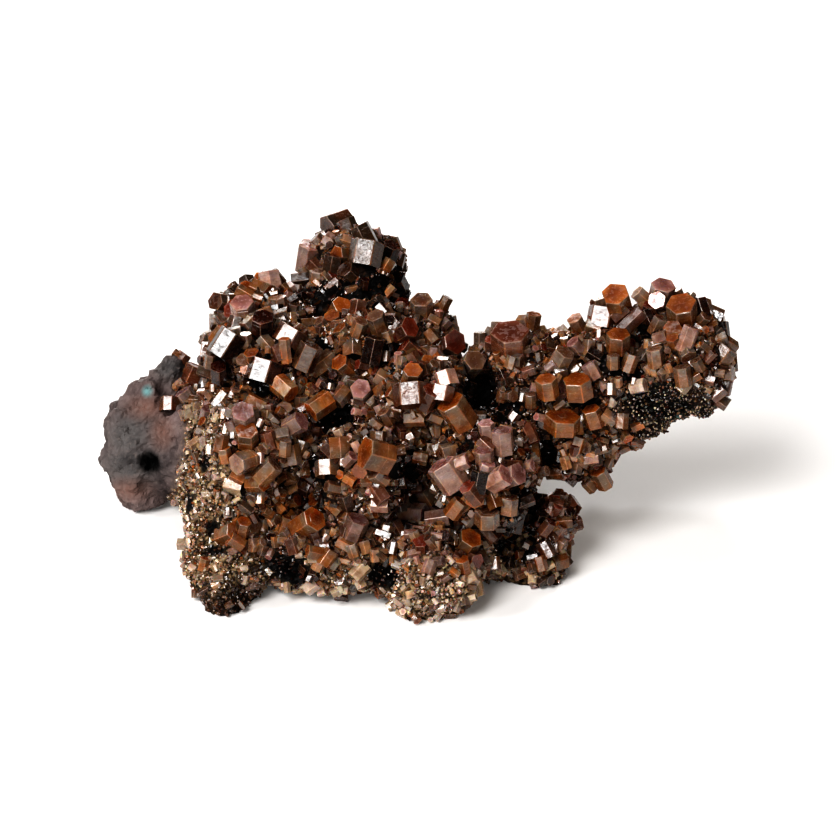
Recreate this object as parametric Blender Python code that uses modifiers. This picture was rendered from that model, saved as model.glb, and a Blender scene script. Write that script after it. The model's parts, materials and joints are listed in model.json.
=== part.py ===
"""Vanadinite on matrix: dark rock grown over with stubby six-sided crystals.

The specimen is about 64 mm long. It stands on the flat worn feet of its rock, with
the ground at Z = 0 and the origin under the middle of its box. +X runs along its
length, from the bare lump of rock to the tip of the arm, and -Y is its show side.

It is laid out on a chart, drawn from one fixed eye in front of the specimen and a
little above it. Places on the chart are millimetres across and down from its top
left corner, and depths are millimetres towards the eye from the chart's middle.
"""

import math
import random
from collections import namedtuple

import bmesh
import bpy
from mathutils import Matrix, Vector
from mathutils.bvhtree import BVHTree

MM = 0.001
COLLECTION = "vanadinite on matrix"

# The chart, and the eye it is drawn from.
CHART_SIZE = 83.6
EYE_RISE = math.radians(28)
EYE_DISTANCE = 420 * MM
CHART_MIDDLE = Vector((0.5, -5.2, 14.8)) * MM

# The rock.
ROCK_VOXEL = 0.7 * MM
ROCK_TRIANGLES = 2200
LUMP_SIZE = 3.6 * MM
LUMP_HEIGHT = 2.2 * MM
KNURL_SIZE = 2.6 * MM
KNURL_HEIGHT = 0.9 * MM

# The crystals' roots are cut back from the rock by the gap. The rest is how they stand
# in it: lengths as shares of their own width, directions as shares of a stub's axis.
GAP = 0.3 * MM
SUNK = 0.12
ROOT = 0.45
STUB_LENGTH = 0.64
STUB_TILT = 0.7
LAID_OVER = 0.5
NORMAL_SHARE = 0.6
UP_SHARE = 0.5

Lobe = namedtuple("Lobe", "across down toward half_width half_height half_depth")
Hollow = namedtuple("Hollow", "across down half_width half_height half_depth")
Crystal = namedtuple("Crystal", "across down width length lean rise", defaults=(None, None, None))

# The rock is a lumpy mass: each lobe is an ellipsoid, squared to the chart.
LOBES = [
    # the body of the rock
    Lobe(33, 45, -5, 15, 10, 9),
    Lobe(36, 42, -14, 13, 9, 8),
    Lobe(24, 49, -1.5, 6.0, 9, 7),
    # bulges of its front, from left to right
    Lobe(26, 45, 3, 5.5, 5, 4.5),
    Lobe(36.5, 47, 4.5, 5.5, 4.5, 4),
    Lobe(42.5, 39, 1.5, 5, 3.5, 5),
    Lobe(48.5, 47, 3.5, 5, 6, 5),
    # left foot
    Lobe(21.2, 55.5, 1, 2.4, 3.0, 3),
    Lobe(22.9, 58.2, 2.5, 3.2, 3.6, 4),
    # low front, and its rounded lobe
    Lobe(33.6, 55.3, 2, 8.5, 4.2, 5),
    Lobe(43.0, 57.3, 4, 4.7, 5, 5),
    # right foot, and the ledge over it
    Lobe(54.6, 51.5, -1.5, 3.0, 2.1, 3.0),
    Lobe(48.5, 54.5, 0, 3, 3.5, 4),
    Lobe(53, 54.4, -2.5, 4.1, 5.0, 4.5),
    # the arm, from its root to its tip
    Lobe(53, 39.1, -2, 7, 6.2, 6),
    Lobe(61.5, 38.2, -1.5, 7, 6.3, 5),
    Lobe(67.6, 36.3, -1, 5.5, 6.1, 5),
    Lobe(57.2, 44.6, -1, 4.3, 3.1, 3.5),
    # crest, and the ridge and knob behind it
    Lobe(27, 36.5, -3, 6.6, 4.8, 5),
    Lobe(38, 35, -4, 8, 4.4, 5),
    Lobe(27, 31.5, -10, 5.8, 3.0, 5),
    Lobe(43.2, 32.3, -5, 1.7, 1.6, 2),
    Lobe(35.4, 26.6, -15, 4.9, 4.1, 5),
    Lobe(36, 31, -12, 5.2, 5.5, 6),
    Lobe(35.5, 34.5, -17.5, 6.5, 6, 5),
    # the bare lump at the back left, and the small knob on it
    Lobe(14.0, 45.0, -14, 4.3, 6.3, 5.5),
    Lobe(15.8, 40.8, -13.5, 3.2, 4.0, 4),
    Lobe(17, 37.6, -12.5, 2.0, 2.0, 2),
    Lobe(19, 45, -11, 4, 6, 5),
]

# The broken back is a wide flat hollow. The others are sunk in the rock where the
# sight line of their chart place meets it.
BROKEN_BACK = Lobe(36, 47, -69, 48, 38, 50)
HOLLOWS = [
    Hollow(32.4, 36.0, 0.9, 2.0, 1.8),
    Hollow(34.0, 41.8, 1.8, 1.4, 2.2),
    Hollow(22.7, 37.8, 1.0, 1.2, 1.2),
    Hollow(26.8, 38.6, 1.2, 1.0, 1.3),
    Hollow(31.8, 47.8, 1.1, 2.2, 1.8),
    Hollow(41.2, 47.6, 1.4, 2.6, 2.4),
    Hollow(48.2, 39.2, 1.8, 2.4, 3.0),
    Hollow(54.7, 45.6, 1.2, 1.5, 1.8),
    Hollow(51.5, 54.2, 2.0, 2.0, 2.4),
    Hollow(52.6, 50.6, 1.4, 1.6, 2.2),
    Hollow(64.3, 33.4, 1.2, 1.0, 1.4),
    Hollow(64.6, 40.4, 1.6, 1.3, 1.6),
    Hollow(67.4, 41.0, 1.8, 1.1, 1.4),
    Hollow(29.3, 57.4, 1.6, 1.2, 2.2),
    Hollow(38.5, 57.6, 1.5, 1.3, 2.2),
    Hollow(15.1, 46.2, 1.0, 0.9, 1.6),
]

# A crystal that leans has its length, its lean anticlockwise from the chart's right
# and its rise towards the eye in degrees. A stub grows straight out of the rock.
CRYSTALS = {
    "left_crest": [
        Crystal(22.7, 34.3, 3.4, 2.5, 58, 10),
        Crystal(26.3, 32.5, 2.6, 2.2, 90, 40),
        Crystal(24.3, 31.0, 2.7, 2.1, 100, 40),
        Crystal(24.6, 34.0, 1.3, 1.4, 95, 25),
        Crystal(26.5, 37.0, 4.0, 2.0, 75, 20),
        Crystal(29.1, 33.5, 3.0, 1.5, 60, 20),
        Crystal(30.7, 35.5, 2.4, 2.4, 65, 15),
        Crystal(28.5, 38.9, 2.2, 1.9, 320, 25),
        Crystal(31.9, 40.6, 2.3, 2.2, 215, 20),
        Crystal(21.9, 37.2, 1.8, 1.8, 90, 50),
        Crystal(20.8, 34.2, 1.4, 1.6, 150, 20),
        Crystal(28.0, 30.5, 1.8, 1.7, 100, 20),
        Crystal(25.2, 35.6, 1.6),
        Crystal(17.0, 40.3, 2.3, 1.2, 90, 40),
        Crystal(19.4, 37.2, 2.2),
        Crystal(18.3, 38.8, 1.4),
    ],
    "middle_crest": [
        Crystal(34.0, 31.0, 2.2, 1.7, 60, 50),
        Crystal(36.0, 32.5, 1.6),
        Crystal(37.8, 32.2, 2.0, 2.0, 110, 40),
        Crystal(39.0, 32.2, 1.3),
        Crystal(40.0, 30.8, 1.8, 1.5, 60, 45),
        Crystal(40.5, 33.0, 2.4, 1.8, 30, 45),
        Crystal(42.2, 30.5, 2.4),
        Crystal(44.4, 30.5, 1.3, 1.8, 60, 10),
        Crystal(44.7, 32.3, 1.2),
        Crystal(37.5, 34.5, 2.4),
        Crystal(36.1, 39.2, 2.4, 1.5, 100, 65),
        Crystal(34.2, 36.5, 2.0),
        Crystal(38.5, 41.5, 1.4),
        Crystal(41.0, 39.3, 3.4, 1.9, 95, 15),
        Crystal(41.2, 37.6, 2.0, 2.0, 80, 50),
        Crystal(39.5, 39.5, 1.4, 1.6, 150, 20),
    ],
    "centre": [
        Crystal(44.1, 39.2, 2.6, 1.3, 80, 20),
        Crystal(44.6, 37.8, 2.4, 1.3, 110, 25),
        Crystal(43.0, 39.5, 2.0),
        Crystal(45.7, 41.1, 3.0, 2.8, 125, 30),
        Crystal(43.2, 41.7, 1.3),
        Crystal(47.0, 36.5, 2.3, 2.0, 225, 20),
        Crystal(45.1, 34.4, 2.8, 1.8, 20, 55),
        Crystal(48.0, 34.2, 1.4, 2.0, 90, 10),
        Crystal(48.1, 36.0, 1.6),
        Crystal(51.0, 33.8, 4.2, 1.6, 95, 35),
        Crystal(53.2, 32.5, 1.6, 2.4, 80, 20),
        Crystal(48.7, 43.0, 1.7, 1.7, 100, 30),
        Crystal(50.3, 44.0, 2.2, 2.2, 95, 25),
        Crystal(48.4, 44.3, 1.6),
        Crystal(48.4, 45.7, 2.0, 1.6, 95, 30),
        Crystal(48.7, 46.8, 1.8),
        Crystal(46.0, 46.3, 1.7, 1.9, 20, 20),
        Crystal(44.8, 47.4, 3.0, 2.6, 125, 15),
        Crystal(43.7, 48.8, 1.6),
    ],
    "left": [
        Crystal(24.4, 41.6, 2.5, 1.8, 100, 55),
        Crystal(23.2, 42.5, 1.4),
        Crystal(22.2, 44.0, 1.6),
        Crystal(22.4, 45.2, 1.4),
        Crystal(24.7, 43.5, 2.6, 1.6, 90, 50),
        Crystal(26.8, 41.5, 1.4),
        Crystal(29.6, 42.4, 2.2, 1.6, 30, 30),
        Crystal(26.8, 43.7, 1.6),
        Crystal(28.5, 44.7, 1.3, 1.5, 85, 25),
        Crystal(30.2, 44.5, 1.4),
        Crystal(26.6, 44.7, 1.4),
        Crystal(24.3, 46.2, 2.4, 1.8, 200, 40),
        Crystal(27.0, 46.8, 2.2),
        Crystal(23.5, 47.5, 1.4),
        Crystal(29.3, 47.7, 1.3),
        Crystal(26.0, 48.3, 1.8),
        Crystal(20.7, 41.2, 1.4),
        Crystal(20.5, 42.3, 1.4),
    ],
    "middle": [
        Crystal(37.5, 45.5, 3.6, 2.3, 165, 25),
        Crystal(37.8, 43.7, 1.8),
        Crystal(35.1, 45.8, 1.3),
        Crystal(33.0, 45.0, 2.0),
        Crystal(32.7, 46.7, 2.5, 1.3, 95, 20),
        Crystal(33.0, 48.7, 1.3),
        Crystal(31.0, 52.2, 2.8),
        Crystal(28.8, 52.3, 1.6),
        Crystal(35.6, 52.5, 2.4),
        Crystal(37.7, 50.5, 1.6),
        Crystal(33.7, 51.0, 1.4),
        Crystal(39.5, 52.7, 1.6),
        Crystal(31.2, 55.2, 1.6),
        Crystal(33.0, 55.5, 1.6),
        Crystal(24.3, 52.7, 1.6, 1.6, 75, 40),
        Crystal(23.3, 54.0, 1.5),
        Crystal(25.4, 54.5, 1.5),
    ],
    "right": [
        Crystal(49.9, 47.8, 2.4, 1.8, 30, 30),
        Crystal(51.3, 47.6, 2.4, 1.6, 20, 40),
        Crystal(48.0, 47.7, 2.0),
        Crystal(52.9, 46.6, 1.3),
        Crystal(47.2, 49.2, 2.0, 1.8, 130, 30),
        Crystal(48.7, 51.6, 2.6, 1.4, 90, 35),
        Crystal(50.9, 50.4, 2.0, 1.5, 85, 20),
        Crystal(45.8, 50.5, 1.8),
        Crystal(41.8, 51.5, 2.4),
        Crystal(44.3, 51.9, 2.2),
        Crystal(46.8, 54.3, 2.4, 1.8, 60, 45),
        Crystal(46.3, 56.3, 1.5),
        Crystal(43.0, 56.5, 1.4),
    ],
    "right_foot": [
        Crystal(56.7, 52.1, 1.8),
        Crystal(54.8, 52.5, 1.4),
        Crystal(56.1, 54.3, 1.4),
        Crystal(54.4, 54.6, 1.6),
        Crystal(54.0, 56.0, 1.4),
        Crystal(55.7, 50.0, 1.6),
    ],
    "arm": [
        Crystal(57.8, 32.5, 1.8, 1.8, 120, 30),
        Crystal(60.3, 31.6, 3.3, 1.7, 80, 20),
        Crystal(61.7, 29.8, 3.0, 1.4, 110, 50),
        Crystal(64.0, 29.5, 1.6),
        Crystal(66.2, 29.1, 2.5, 1.7, 80, 40),
        Crystal(66.0, 30.3, 1.9, 3.6, 80, 40),
        Crystal(63.3, 32.0, 1.9, 2.8, 45, 10),
        Crystal(62.5, 31.0, 1.8),
        Crystal(68.2, 31.0, 3.2, 1.8, 100, 45),
        Crystal(70.0, 30.5, 1.8),
        Crystal(70.4, 31.8, 1.4),
        Crystal(68.8, 33.8, 1.8, 2.4, 70, 10),
        Crystal(66.3, 33.7, 1.3),
        Crystal(67.3, 34.0, 1.5),
        Crystal(65.5, 35.6, 1.7, 1.8, 100, 25),
        Crystal(61.8, 34.1, 2.6, 1.7, 90, 35),
        Crystal(61.3, 36.1, 1.3, 1.3, 90, 20),
        Crystal(63.1, 35.9, 1.7),
        Crystal(59.2, 35.3, 1.4),
        Crystal(59.0, 36.8, 1.6),
        Crystal(57.5, 34.5, 1.6),
        Crystal(56.2, 35.8, 2.2, 1.6, 60, 30),
        Crystal(57.8, 38.6, 3.2, 1.6, 100, 28),
        Crystal(54.7, 38.6, 2.4, 1.7, 100, 30),
        Crystal(53.0, 39.9, 1.3, 1.3, 90, 30),
        Crystal(51.1, 39.6, 1.3),
        Crystal(56.2, 42.1, 3.6, 1.2, 85, 30),
        Crystal(59.3, 41.6, 2.0, 1.8, 110, 30),
        Crystal(68.2, 37.2, 1.8),
        Crystal(72.5, 35.4, 2.4),
        Crystal(72.0, 32.8, 1.8),
        Crystal(72.6, 38.4, 1.4),
        Crystal(62.2, 41.8, 1.4),
        Crystal(58.7, 44.8, 1.4),
        Crystal(58.8, 45.9, 1.4),
        Crystal(60.1, 47.8, 1.8, 1.8, 120, 30),
    ],
    "knob": [
        Crystal(33.3, 22.5, 2.6),
        Crystal(36.2, 23.2, 2.4),
        Crystal(31.1, 25.2, 2.8),
        Crystal(33.3, 26.2, 2.2),
        Crystal(36.7, 25.2, 3.6, 2.2, 80, 20),
        Crystal(34.0, 24.0, 1.6),
        Crystal(39.0, 25.0, 2.0),
        Crystal(30.5, 28.0, 1.8),
    ],
    "back_ridge": [
        Crystal(27.0, 27.9, 2.4),
        Crystal(23.7, 29.2, 1.6),
        Crystal(21.9, 30.2, 2.0),
        Crystal(22.2, 31.8, 1.4),
        Crystal(24.6, 28.9, 1.6),
    ],
}

# Crystals that grow out of sight of the eye, over the top and round the back.
HIDDEN_SEED = 13
HIDDEN_TRIES = 3000
HIDDEN_CRYSTALS = 28
HIDDEN_WIDTHS = (1.5, 2.7)
HIDDEN_SPACING = 3.4
HIDDEN_FLOOR = 6 * MM
HIDDEN_LEFT = -21 * MM

# Bodies of crystals larger than the rest, which are too small to part from the rock.
CRYSTAL_BODIES = 48


def chart_axes():
    """Unit vectors to the chart's right, up the chart, and out of it to the eye."""
    right = Vector((1, 0, 0))
    out = Vector((0, -math.cos(EYE_RISE), math.sin(EYE_RISE)))
    return right, out.cross(right), out


RIGHT, UP, OUT = chart_axes()
EYE = CHART_MIDDLE + OUT * EYE_DISTANCE


def charted(across, down, toward=0.0):
    """The place seen at a point of the chart, at a depth in millimetres."""
    from_middle = RIGHT * (across - CHART_SIZE / 2) + UP * (CHART_SIZE / 2 - down)
    on_chart = CHART_MIDDLE + from_middle * MM
    return EYE + (on_chart - EYE) * (1 - toward * MM / EYE_DISTANCE)


def clear_scene():
    for old in list(bpy.data.objects):
        bpy.data.objects.remove(old, do_unlink=True)


def new_collection(name):
    made = bpy.data.collections.new(name)
    bpy.context.scene.collection.children.link(made)
    return made


def new_object(name, bm, collection):
    mesh = bpy.data.meshes.new(name)
    bm.to_mesh(mesh)
    bm.free()
    made = bpy.data.objects.new(name, mesh)
    collection.objects.link(made)
    return made


def as_helper(helper):
    """Marks an object that only cuts or guides others."""
    helper.hide_render = True
    helper.display_type = "WIRE"
    return helper


def material(name, colour, roughness):
    made = bpy.data.materials.new(name)
    made.use_nodes = True
    shader = made.node_tree.nodes["Principled BSDF"]
    shader.inputs["Base Color"].default_value = (*colour, 1)
    shader.inputs["Roughness"].default_value = roughness
    return made


def baked(source):
    """The object's mesh with its modifiers carried out, as a new mesh."""
    bpy.context.view_layer.update()
    graph = bpy.context.evaluated_depsgraph_get()
    return bpy.data.meshes.new_from_object(source.evaluated_get(graph))


def ellipsoids(name, places, shapes, collection):
    """One object holding an ellipsoid for each shape, squared to the chart."""
    squared = Matrix((RIGHT, UP, OUT)).transposed().to_4x4()
    bm = bmesh.new()
    for place, shape in zip(places, shapes):
        halves = Vector((shape.half_width, shape.half_height, shape.half_depth)) * MM
        matrix = Matrix.Translation(place) @ squared @ Matrix.Diagonal((*halves, 1))
        bmesh.ops.create_icosphere(bm, subdivisions=3, radius=1, matrix=matrix)
    return as_helper(new_object(name, bm, collection))


def cut_with(target, cutter, name):
    cut = target.modifiers.new(name, "BOOLEAN")
    cut.operation = "DIFFERENCE"
    cut.solver = "EXACT"
    cut.object = cutter


def add_remesh(target):
    remesh = target.modifiers.new("even skin", "REMESH")
    remesh.mode = "VOXEL"
    remesh.voxel_size = ROCK_VOXEL


def add_relief(target, name, kind, size, height):
    """Raises and sinks the surface by a solid texture of rounded clouds or of cells."""
    texture = bpy.data.textures.new(name, kind)
    texture.noise_scale = size
    relief = target.modifiers.new(name, "DISPLACE")
    relief.texture = texture
    relief.strength = height
    relief.mid_level = 0.5


def ground_cutter(collection):
    """Everything below Z = 0, which leaves the rock its flat feet."""
    bm = bmesh.new()
    side = 2 * CHART_SIZE * MM
    place = Matrix.Translation((0, 0, -side / 2))
    bmesh.ops.create_cube(bm, size=side, matrix=place)
    return as_helper(new_object("ground", bm, collection))


def tree_of(mesh):
    bm = bmesh.new()
    bm.from_mesh(mesh)
    tree = BVHTree.FromBMesh(bm)
    bm.free()
    return tree


def lobe_places(lobes):
    return [charted(lobe.across, lobe.down, lobe.toward) for lobe in lobes]


def sight_hit(tree, across, down):
    """Where the sight line of a chart place meets a surface, and the surface's normal."""
    direction = (charted(across, down) - EYE).normalized()
    return tree.ray_cast(EYE, direction)[:2]


def make_rock(parts, helpers):
    """The matrix: lobes run together, hollowed, roughened and cut off at the ground."""
    rough = ellipsoids("rock lobes", lobe_places(LOBES), LOBES, helpers)
    back = ellipsoids("broken back", lobe_places([BROKEN_BACK]), [BROKEN_BACK], helpers)
    add_remesh(rough)
    tree = tree_of(baked(rough))
    sunk = [sight_hit(tree, hollow.across, hollow.down)[0] for hollow in HOLLOWS]
    cut_with(rough, back, "broken back")
    cut_with(rough, ellipsoids("rock hollows", sunk, HOLLOWS, helpers), "hollows")
    rough.modifiers["hollows"].use_self = True
    add_remesh(rough)
    smooth = rough.modifiers.new("worn edges", "SMOOTH")
    smooth.factor = 0.5
    smooth.iterations = 3
    add_relief(rough, "lumps", "CLOUDS", LUMP_SIZE, LUMP_HEIGHT)
    add_relief(rough, "knurls", "VORONOI", KNURL_SIZE, -KNURL_HEIGHT)
    skin = baked(rough)
    faces = sum(len(face.vertices) - 2 for face in skin.polygons)
    rock = bpy.data.objects.new("matrix", skin)
    parts.objects.link(rock)
    fewer = rock.modifiers.new("fewer faces", "DECIMATE")
    fewer.ratio = ROCK_TRIANGLES / faces
    cut_with(rock, ground_cutter(helpers), "flat feet")
    solid = baked(rock)
    rock.modifiers.clear()
    rock.data = solid
    rock.data.materials.append(material("dark rock", (0.035, 0.026, 0.022), 0.85))
    return rock


def nearest_on_line(tree, start, direction):
    """The point of a line that passes closest to a surface it misses."""
    steps = [EYE_DISTANCE + step * MM for step in range(-20, 30)]
    points = [start + direction * step for step in steps]
    return min(points, key=lambda point: tree.find_nearest(point)[3])


def own_random(across, down):
    """Random numbers that belong to one place, whatever grows elsewhere."""
    return random.Random(round(across * 10) * 10007 + round(down * 10))


def laid_over(axis):
    """The axis turned partly across the sight line, as most crystals show their sides."""
    return (axis - OUT * axis.dot(OUT) * LAID_OVER).normalized()


def standing(tree, crystal):
    """A charted crystal's middle, its axis and its turn about that axis."""
    chance = own_random(crystal.across, crystal.down)
    direction = (charted(crystal.across, crystal.down) - EYE).normalized()
    hit, normal = sight_hit(tree, crystal.across, crystal.down)
    if hit is None:
        hit = nearest_on_line(tree, EYE, direction)
        normal = -direction
    if crystal.lean is None:
        jitter = Vector([chance.uniform(-STUB_TILT, STUB_TILT) for _ in range(3)])
        axis = laid_over(normal * NORMAL_SHARE + UP * UP_SHARE + jitter)
    else:
        lean = math.radians(crystal.lean)
        rise = math.radians(crystal.rise)
        level = RIGHT * math.cos(lean) + UP * math.sin(lean)
        axis = level * math.cos(rise) + OUT * math.sin(rise)
    length = crystal.length or crystal.width * STUB_LENGTH
    facing = max(0.0, axis.dot(-direction))
    sideways = math.sqrt(1 - min(1.0, facing) ** 2)
    lift = crystal.width * (0.5 * sideways - SUNK) + length * 0.5 * facing
    middle = hit - direction * lift * MM
    return middle, axis, chance.uniform(0, math.pi / 3)


def add_prism(bm, middle, axis, turn, width, length):
    """A six-sided prism with flat ends, and a root that runs on into the rock."""
    whole = (length + width * ROOT) * MM
    centre = middle - axis * width * ROOT * MM / 2
    place = Matrix.Translation(centre) @ axis.to_track_quat("Z", "Y").to_matrix().to_4x4()
    bmesh.ops.create_cone(
        bm,
        cap_ends=True,
        segments=6,
        radius1=width * MM / 2,
        radius2=width * MM / 2,
        depth=whole,
        matrix=place @ Matrix.Rotation(turn, 4, "Z"),
    )


def hidden_crystals(rock, tree):
    """Places on the rock that the eye doesn't see, well apart, with a crystal on each."""
    chance = random.Random(HIDDEN_SEED)
    faces = list(rock.data.polygons)
    weights = [face.area for face in faces]
    taken = []
    for face in chance.choices(faces, weights, k=HIDDEN_TRIES):
        place = face.center.copy()
        width = chance.uniform(*HIDDEN_WIDTHS)
        jitter = Vector([chance.uniform(-0.4, 0.4) for _ in range(3)])
        axis = (face.normal + jitter).normalized()
        turn = chance.uniform(0, 1)
        tip = place + axis * width * MM
        sight = tip - EYE
        if tree.ray_cast(EYE, sight.normalized(), sight.length)[0] is None:
            continue
        if place.z < HIDDEN_FLOOR or place.x < HIDDEN_LEFT or face.normal.z < -0.1:
            continue
        if any((place - other[0]).length < HIDDEN_SPACING * MM for other in taken):
            continue
        taken.append((place, axis, width, turn))
        if len(taken) == HIDDEN_CRYSTALS:
            break
    return taken


def planned_crystals(rock):
    """Each crystal's group, middle, axis, turn, width and length."""
    tree = tree_of(rock.data)
    plans = []
    for group, crystals in CRYSTALS.items():
        for crystal in crystals:
            length = crystal.length or crystal.width * STUB_LENGTH
            plans.append((group, *standing(tree, crystal), crystal.width, length))
    for place, axis, width, turn in hidden_crystals(rock, tree):
        middle = place + axis * width * (0.5 - SUNK) * MM
        plans.append(("back", middle, axis, turn, width, width))
    return plans


def prisms_of(plans, name, helpers):
    """One helper object with a prism for each planned crystal."""
    bm = bmesh.new()
    for _, middle, axis, turn, width, length in plans:
        add_prism(bm, middle, axis, turn, width, length)
    return as_helper(new_object(name, bm, helpers))


def gap_round(rock, helpers):
    """The rock grown by the gap, which the crystals' roots are cut back to."""
    grown = as_helper(bpy.data.objects.new("rock and gap", rock.data.copy()))
    helpers.objects.link(grown)
    swell = grown.modifiers.new("gap", "DISPLACE")
    swell.strength = GAP
    swell.mid_level = 0
    return grown


def loose_pieces(mesh):
    """The mesh taken apart into its separate bodies, each a bmesh, largest first."""
    whole = bmesh.new()
    whole.from_mesh(mesh)
    whole.verts.ensure_lookup_table()
    unseen = set(range(len(whole.verts)))
    found = []
    while unseen:
        queue = [unseen.pop()]
        body = set(queue)
        while queue:
            for edge in whole.verts[queue.pop()].link_edges:
                for vert in edge.verts:
                    if vert.index in unseen:
                        unseen.discard(vert.index)
                        body.add(vert.index)
                        queue.append(vert.index)
        piece = whole.copy()
        others = [vert for vert in piece.verts if vert.index not in body]
        bmesh.ops.delete(piece, geom=others, context="VERTS")
        found.append(piece)
    whole.free()
    return sorted(found, key=lambda piece: -piece.calc_volume())


def owners_of(plans, pieces):
    """For each planned crystal, the number of the piece that its tip is on."""
    trees = [BVHTree.FromBMesh(piece) for piece in pieces]
    owners = []
    for _, middle, axis, _, _, length in plans:
        tip = middle + axis * length * MM / 2
        distances = [tree.find_nearest(tip)[3] for tree in trees]
        owners.append(distances.index(min(distances)))
    return owners


def make_crystals(rock, parts, helpers):
    """Crystals that touch are one body. Small lone ones are left, to join the rock."""
    plans = planned_crystals(rock)
    prisms = prisms_of(plans, "prisms", helpers)
    cut_with(prisms, gap_round(rock, helpers), "roots")
    prisms.modifiers["roots"].use_self = True
    pieces = loose_pieces(baked(prisms))
    owners = owners_of(plans, pieces)
    finish = material("vanadinite", (0.24, 0.05, 0.012), 0.2)
    counts = {}
    for number, piece in enumerate(pieces[:CRYSTAL_BODIES]):
        grown = [plan for plan, owner in zip(plans, owners) if owner == number]
        group = max(grown, key=lambda plan: plan[4])[0]
        counts[group] = counts.get(group, 0) + 1
        made = new_object(f"crystals_{group}_{counts[group]}", piece, parts)
        made.data.materials.append(finish)
    return [plan for plan, owner in zip(plans, owners) if owner >= CRYSTAL_BODIES]


def fuse_small_crystals(rock, plans, helpers):
    """Grows the small lone crystals out of the rock, as one body with it."""
    small = prisms_of(plans, "small prisms", helpers)
    fuse = rock.modifiers.new("small crystals", "BOOLEAN")
    fuse.operation = "UNION"
    fuse.solver = "EXACT"
    fuse.use_self = True
    fuse.object = small
    whole = loose_pieces(baked(rock))[0]
    rock.modifiers.clear()
    whole.to_mesh(rock.data)
    whole.free()


def main():
    clear_scene()
    parts = new_collection(COLLECTION)
    helpers = new_collection("helpers")
    helpers.hide_render = True
    rock = make_rock(parts, helpers)
    small = make_crystals(rock, parts, helpers)
    fuse_small_crystals(rock, small, helpers)


main()
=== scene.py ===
"""Dresses the vanadinite specimen: its rock, its crystals and the crust between them.

The rock is built again from the lobes of the solid model, first coarsely, to stand the
crystals on the same places, and then finely, to be seen. Crystals that can be told
apart are listed one by one on the chart; the smaller ones are sown over the rock.

The chart is drawn from one fixed eye in front of the specimen and a little above it.
Places on it are millimetres across and down from its top left corner.
"""

import json
import math
import random
from collections import namedtuple

import bmesh
import bpy
import numpy as np
from mathutils import Matrix, Vector, noise
from mathutils.bvhtree import BVHTree
from mathutils.kdtree import KDTree

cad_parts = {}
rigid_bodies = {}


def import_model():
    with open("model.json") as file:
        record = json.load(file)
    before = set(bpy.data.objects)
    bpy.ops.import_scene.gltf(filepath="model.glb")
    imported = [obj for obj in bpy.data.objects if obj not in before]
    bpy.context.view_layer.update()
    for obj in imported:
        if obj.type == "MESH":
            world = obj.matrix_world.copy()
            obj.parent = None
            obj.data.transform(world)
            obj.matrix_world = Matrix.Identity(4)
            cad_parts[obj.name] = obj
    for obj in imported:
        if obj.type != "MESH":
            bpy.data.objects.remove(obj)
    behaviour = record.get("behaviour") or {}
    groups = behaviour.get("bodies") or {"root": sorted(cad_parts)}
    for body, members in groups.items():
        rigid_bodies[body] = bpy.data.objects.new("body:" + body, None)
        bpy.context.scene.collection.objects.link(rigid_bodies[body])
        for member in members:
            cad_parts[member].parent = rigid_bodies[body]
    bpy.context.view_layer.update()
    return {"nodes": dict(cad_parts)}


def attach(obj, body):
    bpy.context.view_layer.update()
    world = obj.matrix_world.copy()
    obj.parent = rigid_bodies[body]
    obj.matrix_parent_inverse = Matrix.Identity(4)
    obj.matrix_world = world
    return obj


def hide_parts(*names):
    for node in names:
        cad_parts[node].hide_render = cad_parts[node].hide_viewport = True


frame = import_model()

MM = 0.001

# The chart, and the eye it is drawn from.
CHART_SIZE = 83.6
EYE_RISE = math.radians(28)
EYE_DISTANCE = 420 * MM
CHART_MIDDLE = Vector((0.5, -5.2, 14.8)) * MM
SENSOR = 36.0

# The rock, coarse to stand crystals on and fine to be seen.
ROCK_VOXEL = 0.7 * MM
ROCK_TRIANGLES = 2200
STANDING_SMOOTHING = 3
FINE_VOXEL = 0.36 * MM
FINE_SMOOTHING = 8
LUMP_SIZE = 3.6 * MM
LUMP_HEIGHT = 2.2 * MM
KNURL_SIZE = 2.6 * MM
KNURL_HEIGHT = 0.9 * MM
GRAIN_SIZE = 0.9 * MM
GRAIN_HEIGHT = 0.32 * MM
GRAIN_GROOVE = 1.6
GRAIN_ON_BARE = 0.4
GRIT_SIZE = 0.35 * MM
GRIT_HEIGHT = 0.16 * MM
PIT_SIZE = 1.5 * MM
PIT_DEPTH = 1.1 * MM

# How far round a hollow the rock is painted black as shade, in its own half sizes, and how softly.
BLACK_REACH = 1.45
BLACK_BORDER = 0.4

# How a crystal stands in the rock, as shares of its own width.
SUNK = 0.12
ROOT = 0.45
SHORT_ROOT = 0.12
STUB_LENGTH = 0.64

# What makes up the way a short crystal points: the rock's normal, up the chart and
# chance. It is then laid over partly across the sight line.
NORMAL_SHARE = 0.6
UP_SHARE = 0.5
STUB_TILT = 0.7
LAID_OVER = 0.5
# How far a faint glint is turned off the key light.
FAINT_TURN = 0.12

# Fine form of a crystal, as shares of its half width.
CORNER = 0.05
SKEW = 0.09
STEP = 0.035
STEP_RISE = 0.02
RIM = 0.16
CUP = 0.06
CUP_WALL = 0.07
TERRACE = 0.022
TERRACE_SIZES = (0.25, 0.85)
# How far up the side the steps reach, and how much less they lead outward than inward.
TALLEST_STEP = 0.85
STEP_OUT = 0.3
# How many of the listed crystals have hollowed ends.
CUPPED_SHARE = 0.12

# A small grain: how far its tip is drawn in, and how much it slants.
DRAWN_IN = (0.6, 0.95)
SLANT = 0.35

# Faces of a crystal.
PRISM, BASAL, EDGE, WALL = range(4)

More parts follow.
